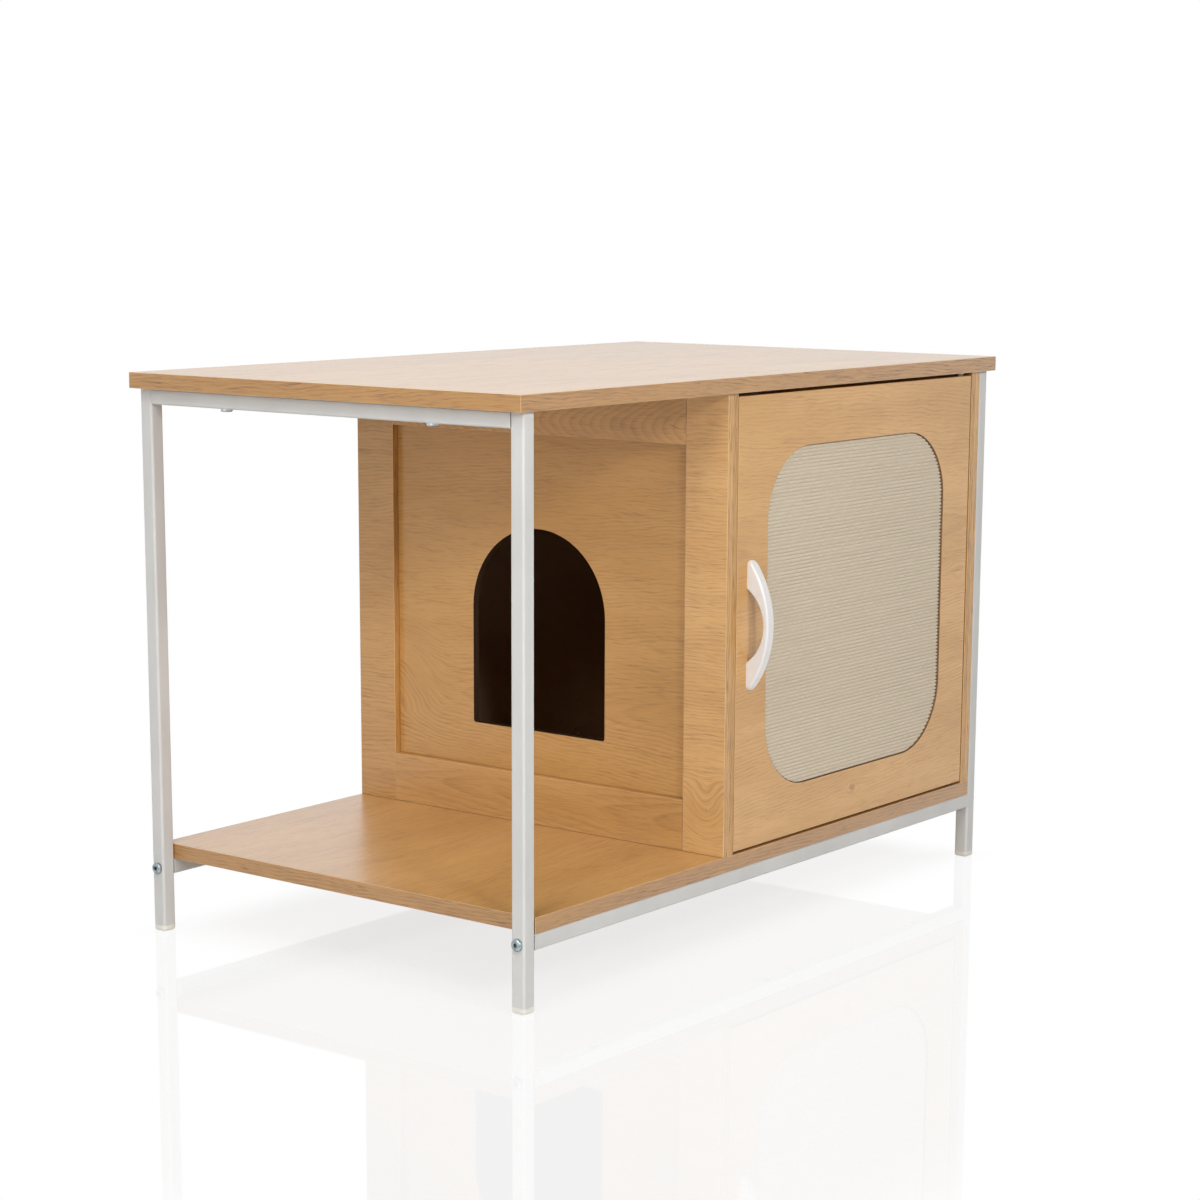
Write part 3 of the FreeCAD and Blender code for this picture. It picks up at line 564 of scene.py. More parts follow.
    def pores(self, shader: Shader, grain: Grain, rings: Wire) -> Wire:
        """Scatter short dark dashes, 0 to 1, thicker in clusters and where rings are dark."""
        crowd = (self.CLUSTER.draw(shader, grain) - NOISE_MEAN) * self.CLUSTER_SHARE
        wanted = self.PORE.draw(shader, grain) + crowd + rings * self.RING_PORE_SHARE
        return shader.rise(wanted, *self.PORE_RANGE)

    def raw(self, shader: Shader, faces: Sequence[Wire]) -> Wire | None:
        """Give 1 where the board is bare, at its cutout or raw side, or None if it has neither."""
        if self.cutout:
            return self.cutout.mask(shader, faces)
        if self.raw_side:
            ahead = shader.facing()[self.raw_side.value]
            return shader.math("LESS_THAN", ahead, -self.FACE_SHARE)
        return None


@dataclass(frozen=True)
class PowderCoat(Finish):
    """Baked paint on steel tube, with a fine orange-peel skin."""

    colour: Colour = paint(205, 204, 201)
    shade_colour: Colour = paint(199, 198, 195)
    roughness: float = 0.52
    shine: float = 0.25

    MOTTLE = Speckle((22.0, 22.0, 9.0))
    PEEL = Speckle((950.0, 950.0, 950.0), 1.0)
    SPECK = Speckle((420.0, 420.0, 420.0), 0.0)
    MOTTLE_RANGE = (0.3, 0.75)
    MOTTLE_ROUGHNESS = 0.1
    SPECK_RANGE = (0.7, 0.82)
    SPECK_SHARE = 0.12
    PEEL_RELIEF = (0.15, 0.03 * MM)

    def shade(self, shader: Shader) -> None:
        """Add the slow mottle, the skin and its gloss."""
        mottle = self.MOTTLE.draw(shader)
        specks = shader.rise(self.SPECK.draw(shader), *self.SPECK_RANGE)
        tone = shader.rise(mottle, *self.MOTTLE_RANGE)
        colour = shader.mix(tone, self.colour, self.shade_colour)
        colour = shader.mix(specks * self.SPECK_SHARE, colour, self.shade_colour)
        roughness = self.roughness + mottle * self.MOTTLE_ROUGHNESS
        normal = shader.bump(self.PEEL.draw(shader), *self.PEEL_RELIEF)
        shader.surface(colour, roughness, normal, {"Specular IOR Level": self.shine})


@dataclass(frozen=True)
class MouldedPlastic(Finish):
    """Moulded plastic with faint flow marks and a fine skin."""

    colour: Colour
    flow_colour: Colour
    gloss: float
    flow_size: float = 9 * MM

    FLOW_DETAIL = 3.0
    FLOW_RANGE = (0.3, 0.75)
    FLOW_ROUGHNESS = 0.12
    SKIN = Speckle((1250.0, 1250.0, 1250.0), 1.0)
    SKIN_RELIEF = (0.2, 0.04 * MM)
    IOR = 1.49

    def shade(self, shader: Shader) -> None:
        """Add the flow marks, the skin and its gloss."""
        flow = [value / self.flow_size for value in shader.place()]
        marks = shader.noise(flow, self.FLOW_DETAIL)
        tone = shader.rise(marks, *self.FLOW_RANGE)
        colour = shader.mix(tone, self.colour, self.flow_colour)
        roughness = self.gloss + (marks - NOISE_MEAN) * self.FLOW_ROUGHNESS
        normal = shader.bump(self.SKIN.draw(shader), *self.SKIN_RELIEF)
        shader.surface(colour, roughness, normal, {"IOR": self.IOR})


@dataclass(frozen=True)
class Recess:
    """A driver's recess along X in the heads of bolts at one height, either side of Y zero."""

    y: float
    z: float
    radius: float = 2.4 * MM
    edge: float = 0.3 * MM

    def mask(self, shader: Shader) -> Wire:
        """Give 1 in the recess, by the distance from the bolt's axis, and 0 outside."""
        _, y, z = shader.place()
        across = abs(y) - self.y
        up = z - self.z
        away = (across * across + up * up) ** 0.5
        return 1 - shader.rise(away, self.radius - self.edge, self.radius)


@dataclass(frozen=True)
class ZincPlate(Finish):
    """Bright zinc plate on small steel fittings: cloudy, scratched, with painted shade in a recess.
    """

    colour: Colour = paint(186, 196, 199)
    cloud_colour: Colour = paint(128, 140, 146)
    painted_recess_shade: Colour = paint(112, 126, 127)
    gloss: float = 0.26
    recess: Recess | None = None

    CLOUD = Speckle((260.0, 260.0, 260.0), 3.0)
    CLOUD_RANGE = (0.35, 0.75)
    CLOUD_ROUGHNESS = 0.16
    SCRATCH = Speckle((2400.0, 300.0, 2400.0), 1.0)
    SCRATCH_ROUGHNESS = 0.1
    SCRATCH_RELIEF = (0.1, 0.03 * MM)

    def shade(self, shader: Shader) -> None:
        """Add the clouds, the fine scratches and the metal."""
        clouds = self.CLOUD.draw(shader)
        scratches = self.SCRATCH.draw(shader)
        tone = shader.rise(clouds, *self.CLOUD_RANGE)
        colour = shader.mix(tone, self.colour, self.cloud_colour)
        if self.recess:
            # The driver's recess is darkened as painted shade.
            colour = shader.mix(self.recess.mask(shader), colour, self.painted_recess_shade)
        roughness = self.gloss + clouds * self.CLOUD_ROUGHNESS
        roughness = roughness + (scratches - NOISE_MEAN) * self.SCRATCH_ROUGHNESS
        normal = shader.bump(scratches, *self.SCRATCH_RELIEF)
        shader.surface(colour, roughness, normal, {"Metallic": 1.0})


@dataclass(frozen=True)
class PressedBoard(Finish):
    """Brown hardboard of pressed fibres, for the board behind the pad."""

    colour: Colour = paint(150, 112, 76)
    fibre_colour: Colour = paint(108, 78, 50)
    roughness: float = 0.6

    LEVEL = Speckle((240.0, 240.0, 900.0), 3.0)
    UPRIGHT = Speckle((900.0, 240.0, 240.0), 3.0)
    FIBRE_RANGE = (0.45, 0.75)
    FIBRE_ROUGHNESS = 0.2
    RELIEF = (0.3, 0.1 * MM)

    def shade(self, shader: Shader) -> None:
        """Add matted fibres in two directions."""
        fibres = shader.math("MAXIMUM", self.LEVEL.draw(shader), self.UPRIGHT.draw(shader))
        tone = shader.rise(fibres, *self.FIBRE_RANGE)
        colour = shader.mix(tone, self.colour, self.fibre_colour)
        roughness = self.roughness + fibres * self.FIBRE_ROUGHNESS
        normal = shader.bump(fibres, *self.RELIEF)
        shader.surface(colour, roughness, normal)


@dataclass(frozen=True)
class Ferrite(Finish):
    """Dark sintered magnet with fine grains."""

    colour: Colour = paint(52, 50, 50)
    grain_colour: Colour = paint(86, 84, 82)
    roughness: float = 0.5

    GRAIN_RATE = 1500.0
    GRAIN_RANGE = (0.2, 0.8)
    GRAIN_ROUGHNESS = 0.2
    RELIEF = (0.2, 0.05 * MM)

    def shade(self, shader: Shader) -> None:
        """Add the grains and a dull sheen."""
        grains = shader.cells([value * self.GRAIN_RATE for value in shader.place()])
        tone = shader.rise(grains, *self.GRAIN_RANGE)
        colour = shader.mix(tone, self.grain_colour, self.colour)
        roughness = self.roughness + grains * self.GRAIN_ROUGHNESS
        normal = shader.bump(grains, *self.RELIEF)
        shader.surface(colour, roughness, normal)


@dataclass(frozen=True)
class SisalWeave(Finish):
    """Woven sisal: pale ribs with painted shade in the valleys, uneven yarns and fine fibres."""

    pitch: float
    base_level: float
    loop_length: float
    crest: Colour = paint(210, 196, 174)
    yarn: Colour = paint(202, 187, 164)
    valley_shade: Colour = paint(160, 144, 116)
    roughness: float = 0.78
    sheen: float = 0.15
    sheen_roughness: float = 0.5

    FIBRE_RATES = (260.0, 300.0, 1900.0)
    FIBRE_LEAN = 900.0
    FIBRE_CRISPNESS = 0.6
    YARN_LUCK = 40.0
    YARN_STEP = 3.7
    PATCH_RATE = 14.0
    PATCH_STEP = 0.4
    PATCH_SEED = 4.0
    FIBRE_SHARE = 0.5
    PATCH_SHARE = 0.4
    LUCK_SHARE = 0.15
    TONE_RANGE = (0.3, 0.72)
    GAP_RANGE = (0.05, 0.5)
    DEEP_RANGE = (0.7, 1.3)
    FIBRE_ROUGHNESS = 0.14
    FIBRE_RELIEF_SHARE = 0.7
    YARN_RELIEF_SHARE = 0.3
    RELIEF = (0.5, 0.35 * MM)
    IOR = 1.4

    def shade(self, shader: Shader) -> None:
        """Add the ribs' tones, the fibres along them and their relief."""
        x, y, z = shader.place()
        count = (z - self.base_level) / self.pitch
        rib = shader.math("FLOOR", count)
        luck = shader.chance(rib)
        along, into, up = self.FIBRE_RATES
        lean = x * along + z * self.FIBRE_LEAN
        fibre = shader.noise((lean, y * into, z * up), roughness=self.FIBRE_CRISPNESS)
        loops = x / self.loop_length + luck * self.YARN_LUCK
        yarn = shader.noise((loops, rib * self.YARN_STEP, 0.0))
        patch = shader.noise((x * self.PATCH_RATE, rib * self.PATCH_STEP, self.PATCH_SEED))
        tone = yarn + (fibre - NOISE_MEAN) * self.FIBRE_SHARE
        tone = tone + (patch - NOISE_MEAN) * self.PATCH_SHARE
        tone = tone + (luck - NOISE_MEAN) * self.LUCK_SHARE
        colour = shader.mix(shader.rise(tone, *self.TONE_RANGE), self.yarn, self.crest)
        # The valleys between ribs are darkened as painted shade, more where the yarn runs deep.
        crest = shader.math("SINE", (count - rib) * math.pi)
        gap = 1 - shader.rise(crest, *self.GAP_RANGE)
        deep = shader.rise(yarn + patch, *self.DEEP_RANGE)
        colour = shader.mix(gap * deep, colour, self.valley_shade)
        roughness = self.roughness + fibre * self.FIBRE_ROUGHNESS
        relief = fibre * self.FIBRE_RELIEF_SHARE + yarn * self.YARN_RELIEF_SHARE
        normal = shader.bump(relief, *self.RELIEF)
        others = {
            "IOR": self.IOR,
            "Sheen Weight": self.sheen,
            "Sheen Roughness": self.sheen_roughness,
        }
        shader.surface(colour, roughness, normal, others)


@dataclass(frozen=True)
class StudioFloor(Finish):
    """White glossy studio floor: a soft shadow under the object and a faint mirror around it."""

    half_length: float
    half_depth: float
    colour: Colour = paint(236, 236, 236)
    glow_share: float = 0.84
    shadow_range: tuple[float, float] = (-0.07, 0.03)
    mirror_share: float = 0.11
    mirror_roughness: float = 0.03
    mirror_range: tuple[float, float] = (0.45, 0.66)

    def shade(self, shader: Shader) -> None:
        """Add the lit floor, its own white for the eye alone, and the mirror.

        The lit floor's share falls to nothing over the shadow's range, and the mirror's over its
        own. Both go by the distance from the tabletop's outline.
        """
        away = self.away(shader)
        white = self.glow_share + shader.rise(away, *self.shadow_range) * (1 - self.glow_share)
        lit = shader.add("ShaderNodeBsdfDiffuse", inputs={"Color": self.colour})
        glow = shader.add("ShaderNodeEmission", inputs={"Color": WHITE, "Strength": 1.0})
        body = shader.layer(seen_directly(shader) * white, lit, glow)
        gloss = {"Color": WHITE, "Roughness": self.mirror_roughness}
        mirror = shader.add("ShaderNodeBsdfGlossy", inputs=gloss)
        mirrored = (1 - shader.rise(away, *self.mirror_range)) * self.mirror_share
        shader.output(shader.wire(shader.layer(mirrored, body, mirror)))

    def away(self, shader: Shader) -> Wire:
        """Measure how far a place on the floor lies outside the tabletop's outline."""
        x, y, _ = shader.place()
        return shader.math("MAXIMUM", abs(x) - self.half_length, abs(y) - self.half_depth)


def seen_directly(shader: Shader) -> Wire:
    """Give 1 for rays from the camera, or from a mirror or glass, and 0 for plain light."""
    path = shader.add("ShaderNodeLightPath")
    camera, mirror = (shader.wire(path, f"Is {kind} Ray") for kind in ("Camera", "Glossy"))
    direct = shader.math("MAXIMUM", camera, mirror)
    return shader.math("MAXIMUM", direct, shader.wire(path, "Is Transmission Ray"))


def dress(nodes: Sequence[str], material: Material) -> None:
    """Give CAD nodes, by name, one finished material."""
    for name in nodes:
        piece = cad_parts[name]
        if not piece.material_slots:
            piece.data.materials.append(material)
        for place in piece.material_slots:
            place.material = material
        LOG.info("%s is dressed in %s", name, material.name)


def make_piece(
    name: str, points: np.ndarray, faces: list[list[int]], material: Material, crease: float
) -> Object:
    """Make a mesh object at the origin, with its place in its mesh.

    Args:
        name: The piece's name.
        points: Its points, one row each.
        faces: Its faces, as places in the points.
        material: Its material.
        crease: The angle above which an edge stays sharp.

    Returns:
        The new object.
    """
    mesh = bpy.data.meshes.new(name)
    mesh.from_pydata(points.tolist(), [], faces)
    mesh.materials.append(material)
    mesh.shade_smooth()
    mesh.set_sharp_from_angle(angle=crease)
    mesh.update()
    piece = bpy.data.objects.new(name, mesh)
    bpy.context.scene.collection.objects.link(piece)
    return piece


@dataclass
class TubeFrame:
    """White square-tube legs, bars and rails, with their feet, bolts and nuts."""

    sides: tuple[str, str] = ("left", "right")
    depths: tuple[str, str] = ("front", "rear")

    def dress(self) -> None:
        """Paint the tubes, mould the feet and plate the bolts."""
        corners = [f"{side}_{depth}" for side in self.sides for depth in self.depths]
        tubes = [f"{corner}_leg" for corner in corners]
        tubes += [f"{side}_top_bar" for side in self.sides]
        tubes += [f"{depth}_rail" for depth in self.depths]
        dress(tubes, PowderCoat().material("white_powder_coat"))
        cream = MouldedPlastic(paint(225, 222, 213), paint(215, 211, 200), gloss=0.48)
        dress([f"{corner}_foot" for corner in corners], cream.material("cream_foot_plastic"))
        low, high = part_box("front_rail")
        # The rail bolts' driver recesses get painted shade.
        recess = Recess(-(low.y + high.y) / 2, (low.z + high.z) / 2)
        plate = ZincPlate(paint(168, 178, 181), paint(112, 124, 129), recess=recess)
        dress(["rail_bolts", "rail_end_nuts"], plate.material("plated_bolts"))


@dataclass
class Boards:
    """The oak-look boards of the cabinet: tabletop, floor, divider, side and back."""

    panels: tuple[str, str] = ("divider", "side")
    outward_signs: tuple[float, float] = (-1.0, 1.0)
    arch: tuple[Point, Point] = ((0.0, -90 * MM, 192 * MM), (0.0, 90 * MM, 410 * MM))
    stile_heart: float = 0.135
    panel_heart: float = 0.229
    panel_taper_share: float = 0.09
    edge_share: float = 0.65
    wall_share: float = 0.2
    # The panel's dark lines: joints, and painted shade where the rails and front stile stand proud
    # of it.
    shade_line_width: float = 1.6 * MM
    line_share: float = 0.5
    flat_shine: float = 0.6
    swirl: Knot = Knot(
        along=-0.2277, across=0.139, core=1.6 * MM, reach=46 * MM, stretch=0.8,
        push=0.3, lift=-26 * MM, core_share=0.2, ring_share=0.05,
    )
    figure: Knot = Knot(
        along=0.206, across=0.235, core=1.0 * MM, reach=95 * MM, stretch=0.9,
        push=0.3, lift=46 * MM, core_share=0.0, ring_share=0.0,
    )
    crack: Crack = Crack(along=-0.184, across=0.5277)

    def dress(self) -> None:
        """Give each board its own cut of oak."""
        flat = (Axis.X, Axis.Y)
        looks = {"edge_axes": flat, "edge_share": self.edge_share, "shine": self.flat_shine}
        tabletop = OakLaminate(Cut.FLAT_BOARD, shift=1.7, heart=0.06, **looks)
        floor = OakLaminate(Cut.FLAT_BOARD, shift=5.3, heart=-0.11, **looks)
        dress(["tabletop"], tabletop.material("oak_tabletop"))
        dress(["bottom_board"], floor.material("oak_bottom_board"))
        bare = {"bare": paint(170, 140, 111), "bare_fibre": paint(146, 118, 91)}
        back = OakLaminate(Cut.FRONT_BOARD, shift=8.9, heart=0.31, raw_side=Axis.Y, **bare)
        dress(["back_panel"], back.material("oak_back_panel"))
        for name, outward in zip(self.panels, self.outward_signs):
            self.dress_panel(name, outward)
        self.dress_strips()

    def walls(self) -> dict[str, Any]:
        """Give the darker tone of the narrow faces that look along Y."""
        return {"edge_axes": (Axis.Y,), "edge_share": self.wall_share}

    def dress_panel(self, name: str, outward: float) -> None:
        """Dress a panel with joint lines and painted shade where strips end on its face with that
        sign of X.
        """
        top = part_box(f"{name}_top_rail")
        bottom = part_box(f"{name}_bottom_rail")
        # These lines mark the joints and paint the shade that falls where the panel is recessed
        # behind its strips.
        lines = ((Axis.Y, top[1].y), (Axis.Z, top[0].z), (Axis.Z, bottom[1].z))
        seams = (Seam(*line, self.shade_line_width, self.line_share, outward) for line in lines)
        # The arch's cut edge keeps the dark default bare colours: bare board and painted shade.
        panel = OakLaminate(
            Cut.END_BOARD, shift=12.4, heart=self.panel_heart, taper_share=self.panel_taper_share,
            knots=(self.figure,), seams=tuple(seams), cutout=Cutout(Axis.X, *self.arch),
            pale=paint(206, 157, 89), honey=paint(192, 142, 72), **self.walls(),
        )
        dress([f"{name}_panel"], panel.material(f"oak_{name}_panel"))

    def dress_strips(self) -> None:
        """Dress the stiles and rails, with dark lines where they butt and where they stand."""
        foot = Seam(Axis.Z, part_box("bottom_board")[1].z)
        butt = Seam(Axis.Y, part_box("divider_top_rail")[1].y)
        stile = {"heart": self.stile_heart, "seams": (foot,), **self.walls()}
        # The front stiles get paler oak colours as painted light: near the front, they catch more
        # light than the panel behind.
        light = OakLaminate(
            Cut.END_BOARD, shift=15.1, knots=(self.swirl,),
            pale=paint(218, 172, 111), honey=paint(206, 158, 95), **stile,
        )
        dress([f"{name}_front_stile" for name in self.panels], light.material("oak_front_stiles_painted_light"))
        rear = OakLaminate(Cut.END_BOARD, shift=18.6, **stile)
        dress([f"{name}_rear_stile" for name in self.panels], rear.material("oak_rear_stiles"))
        crossed = {"cracks": (self.crack,), "seams": (butt,), "taper_share": 0.3}
        top = OakLaminate(Cut.END_BOARD, shift=21.2, heart=0.53, **crossed)
        bottom = OakLaminate(Cut.END_BOARD, shift=24.7, heart=0.12, seams=(butt, foot))
        for end, rail in (("top", top), ("bottom", bottom)):
            nodes = [f"{name}_{end}_rail" for name in self.panels]
            dress(nodes, rail.material(f"oak_{end}_rails"))


@dataclass
class ScratchPad:
    """The ribbed sisal pad that fills the door's window."""

    body: str = "door"
    ribs: int = 92
    points_per_rib: int = 6
    columns: int = 132
    edge_columns: int = 5
    corner_radius: float = 74.7 * MM
    rib_depth: float = 0.7 * MM
    rib_fullness: float = 0.65
    loop_length: float = 10.5 * MM
    loop_share: float = 0.25
    edge_drop: float = 1.1 * MM
    edge_width: float = 1.4 * MM
    edge_crowding: float = 1.5
    turn_share: float = 0.4
    fray: float = 0.7 * MM
    tooth: float = 4.2 * MM
    crease: float = math.radians(62)
    box: tuple[Vector, Vector] = field(default_factory=lambda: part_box("scratch_pad"))

    @property
    def pitch(self) -> float:
        """Height of one rib."""
        return (self.box[1].z - self.box[0].z) / self.ribs

    def rows(self) -> tuple[np.ndarray, np.ndarray, np.ndarray]:
        """Lay out the rows up the pad.

        Half a row's width is the pad's half width, and in the round corners it is the half width
        less the radius, plus the root of the radius squared less the climb squared. Each rib ends a
        random bit short, and the valleys between ribs end a tooth shorter.

        Returns:
            Each row's count of ribs, its height, and half its width.
        """
        low, high = self.box
        count = np.linspace(0, self.ribs, self.ribs * self.points_per_rib + 1)
        level = low.z + count * self.pitch
        half_width = (high.x - low.x) / 2
        half_height = (high.z - low.z) / 2
        middle = (high.z + low.z) / 2
        climb = np.maximum(np.abs(level - middle) - (half_height - self.corner_radius), 0)
        reach = np.sqrt(np.maximum(self.corner_radius**2 - climb**2, 0))
        luck = np.random.default_rng(SEED).random(self.ribs + 1)[np.floor(count).astype(int)]
        crest = np.sin(np.pi * (count % 1))
        short = self.fray * luck * crest + self.tooth * (1 - crest)
        return count, level, half_width - self.corner_radius + reach - short

    def front(self) -> np.ndarray:
        """Work out the pad's front as a grid, rows up and columns along.

        The depth is the rib depth times one less the rib's crest, where the crest is a power of the
        sine over each rib and sinks where the yarn dips between its loops. Near the outline the
        front falls back by the edge drop, as the square of the share of the edge width.

        Returns:
            Points of the front, rows by columns by three.
        """
        low, high = self.box
        count, level, wide = self.rows()
        steps = self.edge_width * np.linspace(0, 1, self.edge_columns) ** self.edge_crowding
        spread = np.linspace(-1, 1, self.columns)[None, 1:-1]
        inner = (wide - self.edge_width)[:, None] * spread
        left = steps[None, :] - wide[:, None]
        x = np.concatenate([left, inner, -left[:, ::-1]], axis=1)
        z = np.broadcast_to(level[:, None], x.shape)
        past = np.stack(
            [
                np.abs(x) - ((high.x - low.x) / 2 - self.corner_radius),
                np.abs(z - (high.z + low.z) / 2) - ((high.z - low.z) / 2 - self.corner_radius),
            ]
        )
        outside = np.linalg.norm(np.maximum(past, 0), axis=0) + np.minimum(past.max(axis=0), 0)
        inset = np.clip((self.corner_radius - outside) / self.edge_width, 0, 1)
        rib = np.floor(count)[:, None]
        turn = np.random.default_rng(SEED + 1).random(self.ribs + 1)[rib.astype(int)]
        turns = x / self.loop_length + rib / 2 + turn * self.turn_share
        loop = (1 + np.cos(2 * np.pi * turns)) / 2
        crest = (np.abs(np.sin(np.pi * count)) ** self.rib_fullness)[:, None]
        depth = self.rib_depth * (1 - crest * (1 - self.loop_share * loop))
        y = low.y + depth + self.edge_drop * (1 - inset) ** 2
        return np.stack([x + (high.x + low.x) / 2, y, z], axis=-1)

    def build(self) -> None:
        """Close the front with side walls, a back and two ends, and put the pad in the door."""
        front = self.front()
        back = front[:, [-1, 0], :].copy()
        back[:, :, 1] = self.box[1].y
        loops = np.concatenate([front, back], axis=1)
        rows, around = loops.shape[:2]
        index = np.arange(rows * around).reshape(rows, around)
        ahead = np.roll(index, -1, axis=1)
        quads = np.stack([index[:-1], ahead[:-1], ahead[1:], index[1:]], axis=-1).reshape(-1, 4)
        faces = quads.tolist() + [index[-1].tolist(), index[0, ::-1].tolist()]
        weave = SisalWeave(self.pitch, self.box[0].z, self.loop_length)
        points = loops.reshape(-1, 3)
        pad = make_piece("sisal_pad", points, faces, weave.material("sisal_weave"), self.crease)
        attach(pad, self.body)
        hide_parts("scratch_pad")
        LOG.info("sisal_pad is built with %d ribs", self.ribs)


@dataclass
class Door:
    """The hinged door: its board, the pad in its window, the bow handle and the hinge pins."""

    pad: ScratchPad = field(default_factory=ScratchPad)
    heart: float = 0.40
    knots: tuple[Knot, ...] = (
        Knot(0.148, 0.1257, core=2.4 * MM, core_share=0.28, ring_share=0.16),
        Knot(0.362, 0.3416, core=1.2 * MM, reach=24 * MM, core_share=0.15, ring_share=0.05),
    )

    def build(self) -> None:
        """Build the pad."""
        self.pad.build()

    def dress(self) -> None:
        """Dress the door's board, backing, handle and small parts."""
        low, high = self.pad.box
        window = Cutout(Axis.Y, tuple(low), tuple(high), margin=2 * MM)
        oak = OakLaminate(
            Cut.FRONT_BOARD, shift=28.3, heart=self.heart, knots=self.knots, cutout=window,
            ring_share=0.25, pore_share=0.15, pale=paint(212, 164, 102), honey=paint(198, 149, 84),
            bare=paint(146, 114, 82), bare_fibre=paint(120, 92, 66),
        )
        dress(["door_panel"], oak.material("oak_door"))
        dress(["pad_backing"], PressedBoard().material("hardboard"))
        handle = MouldedPlastic(
            paint(226, 223, 221), paint(221, 218, 216), gloss=0.3, flow_size=14 * MM
        )
        dress(["door_handle"], handle.material("white_handle"))
        plate = ZincPlate(gloss=0.22).material("plated_door_fittings")
        dress(["handle_screws", "backing_screws", "strike_plate", "strike_screw"], plate)
        # The upper pin is dulled and browned as painted shade, for the dark gap above the door.
        dull = ZincPlate(paint(132, 126, 114), paint(104, 98, 88), gloss=0.4)
        dress(["upper_hinge_pin"], dull.material("upper_pin_painted_shade"))
        # The lower pin is darkened as painted shade, for the dark gap at the door's foot.
        shaded_lower_pin = ZincPlate(paint(74, 70, 66), paint(52, 49, 46), gloss=0.4)
        dress(["lower_hinge_pin"], shaded_lower_pin.material("lower_pin_painted_shade"))


@dataclass
class Fittings:
    """The cabinet's screws, brackets, hinge bushes and door catch."""

    screwed: tuple[str, ...] = ("tabletop", "bottom_board", "panel", "catch")
    flow_size: float = 6 * MM
    matt: float = 0.5
    nylon_gloss: float = 0.45

    def dress(self) -> None:
        """Plate the steel, lacquer the brackets, and dress the nylon and the magnet."""
        plate = ZincPlate().material("plated_fittings")
        dress([f"{name}_screws" for name in self.screwed], plate)
        dress(["catch_pole_plates"], plate)
        size = self.flow_size
        gloss = self.nylon_gloss
        lacquer = MouldedPlastic(paint(160, 130, 102), paint(144, 116, 89), self.matt, size)
        dress(["corner_brackets", "bracket_screws"], lacquer.material("brown_lacquer"))
        nylon = MouldedPlastic(paint(224, 222, 214), paint(212, 209, 199), gloss, size)
        dress(["upper_hinge_bush"], nylon.material("pale_nylon"))
        # The lower hinge bush is dark brown as painted shade in the door's lower gap; the catch
        # housing is brown nylon.
        brown = MouldedPlastic(paint(84, 60, 42), paint(72, 51, 36), gloss, size)
        dress(["catch_housing", "lower_hinge_bush"], brown.material("brown_nylon_and_shade"))
        dress(["catch_magnet"], Ferrite().material("ferrite"))


@dataclass(frozen=True)
class SoftBox:
    """A large soft studio light that looks at a point of the object."""

    name: str
    place: Point
    size: float
    power: float
    aim: Point = (0.0, 0.0, 0.3)

    def build(self) -> None:
        """Add the light."""
        lamp = bpy.data.lights.new(self.name, "AREA")
        lamp.shape = "SQUARE"
        lamp.size = self.size
        lamp.energy = self.power
        light = bpy.data.objects.new(self.name, lamp)
        light.location = self.place
        away = Vector(self.place) - Vector(self.aim)
        light.rotation_euler = away.to_track_quat("Z", "Y").to_euler()
        bpy.context.scene.collection.objects.link(light)


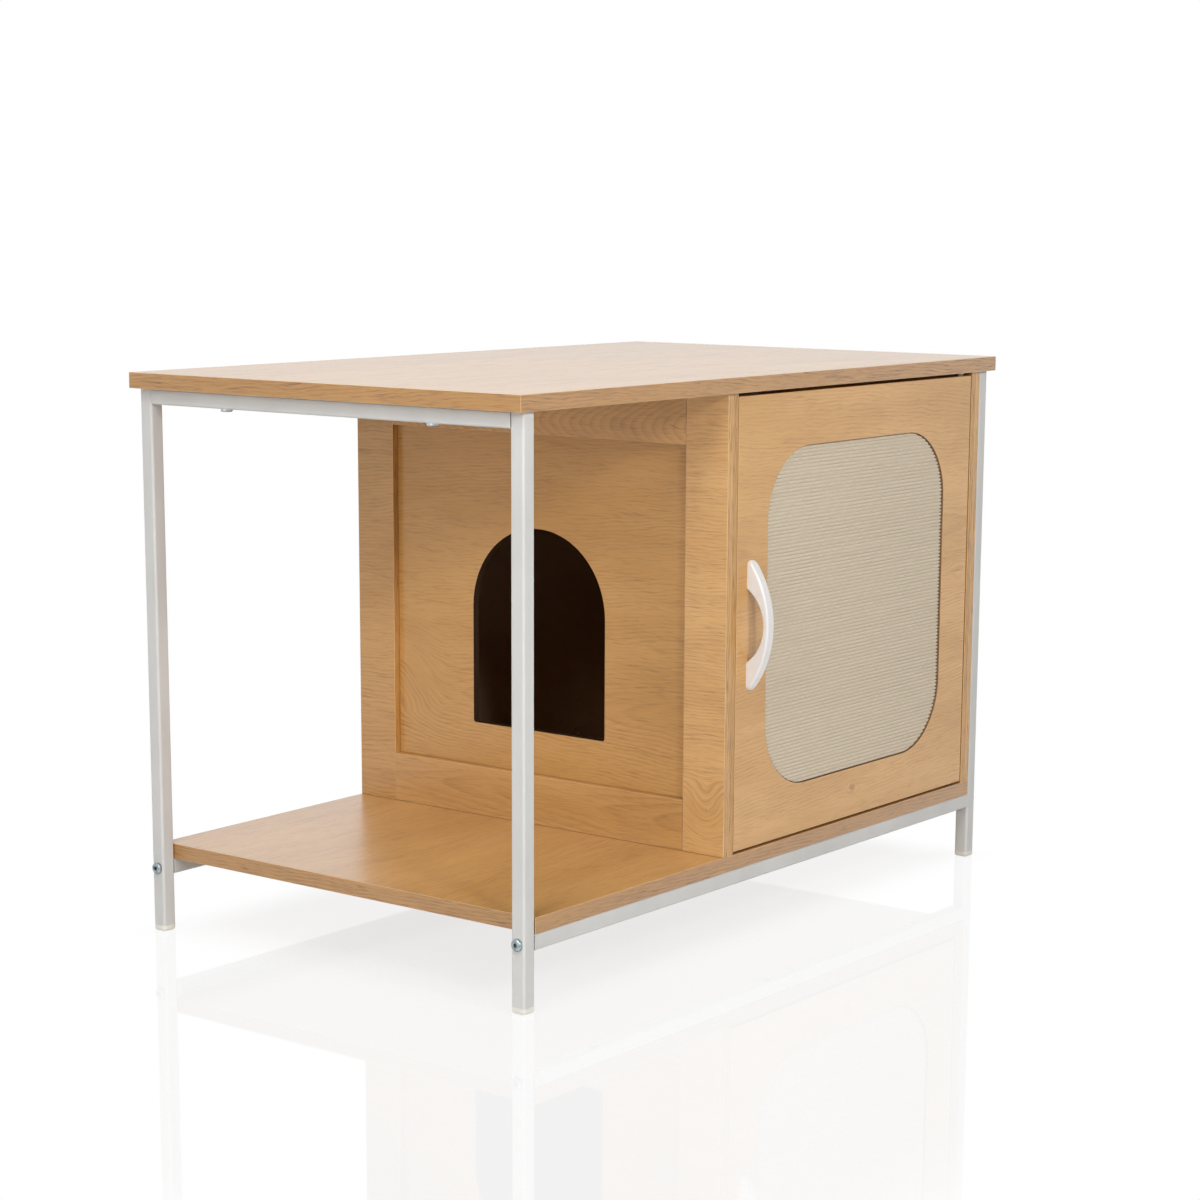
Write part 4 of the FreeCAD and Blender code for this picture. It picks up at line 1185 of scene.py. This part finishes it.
@dataclass
class Studio:
    """The white studio: floor, soft light and a camera at the photograph's angle."""

    floor_reach: float = 30.0
    picture_side: float = 1200.0
    focal_pixels: float = 2738.6
    middle_down: float = 720.0
    azimuth: float = math.radians(-52.304)
    elevation: float = math.radians(10.673)
    roll: float = math.radians(0.238)
    distance: float = 3.021
    target: Point = (0.0226, 0.0, 0.1886)
    sensor: float = 36.0
    ambient: float = 0.1
    lights: tuple[SoftBox, ...] = (
        SoftBox("left_soft_box", (-2.52, -0.82, 1.71), size=0.5, power=14.0),
        SoftBox("left_low_soft_box", (-2.90, -0.25, 1.03), size=0.9, power=14.0),
        SoftBox("left_high_soft_box", (-1.83, -0.26, 2.66), size=1.4, power=28.0),
        SoftBox("front_soft_box", (-0.46, -2.61, 1.71), size=0.5, power=27.0),
        SoftBox("front_left_soft_box", (-1.34, -2.31, 1.66), size=0.4, power=19.0),
        SoftBox("right_fill", (2.97, 0.0, 0.72), size=1.5, power=12.0),
        SoftBox("rear_fill", (0.0, 2.97, 0.72), size=1.5, power=12.0),
    )

    def build(self) -> None:
        """Set up the floor, the light, the world and the camera."""
        self.build_floor()
        for light in self.lights:
            light.build()
        self.build_world()
        self.build_camera()
        bpy.context.scene.view_settings.view_transform = "Standard"

    def build_floor(self) -> None:
        """Lay a wide flat floor at the height of the feet."""
        ends = (-self.floor_reach, self.floor_reach)
        points = np.array([(x, y, 0.0) for y in ends for x in ends])
        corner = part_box("tabletop")[1]
        material = StudioFloor(corner.x, corner.y).material("studio_floor")
        floor = make_piece("studio_floor", points, [[0, 1, 3, 2]], material, math.pi)

    def build_world(self) -> None:
        """Make the surround white to the eye and to mirrors, and softer as light."""
        world = bpy.data.worlds.new("white_surround")
        world.use_nodes = True
        shader = Shader(world.node_tree)
        strength = self.ambient + seen_directly(shader) * (1 - self.ambient)
        surround = shader.add("ShaderNodeBackground", inputs={"Color": WHITE, "Strength": strength})
        shader.add("ShaderNodeOutputWorld", inputs={"Surface": shader.wire(surround)})
        bpy.context.scene.world = world

    def build_camera(self) -> None:
        """Place the camera as the photograph was taken."""
        turn, lift = self.azimuth, self.elevation
        back = Vector(
            (math.sin(turn) * math.cos(lift), -math.cos(turn) * math.cos(lift), math.sin(lift))
        )
        level = Vector((math.cos(turn), math.sin(turn), 0.0))
        upright = back.cross(level)
        right = math.cos(self.roll) * level + math.sin(self.roll) * upright
        up = math.cos(self.roll) * upright - math.sin(self.roll) * level
        lens = bpy.data.cameras.new("photo_camera")
        lens.sensor_width = self.sensor
        lens.lens = self.focal_pixels / self.picture_side * self.sensor
        lens.shift_y = (self.middle_down - self.picture_side / 2) / self.picture_side
        lens.dof.use_dof = False
        camera = bpy.data.objects.new("photo_camera", lens)
        axes = Matrix((right, up, back)).transposed().to_4x4()
        axes.translation = Vector(self.target) + back * self.distance
        camera.matrix_world = axes
        bpy.context.scene.collection.objects.link(camera)
        bpy.context.scene.camera = camera


def main() -> None:
    """Build and dress each sub-assembly, then the studio."""
    logging.basicConfig(level=logging.INFO)
    TubeFrame().dress()
    Boards().dress()
    door = Door()
    door.build()
    door.dress()
    Fittings().dress()
    Studio().build()


if __name__ == "__main__":
    main()
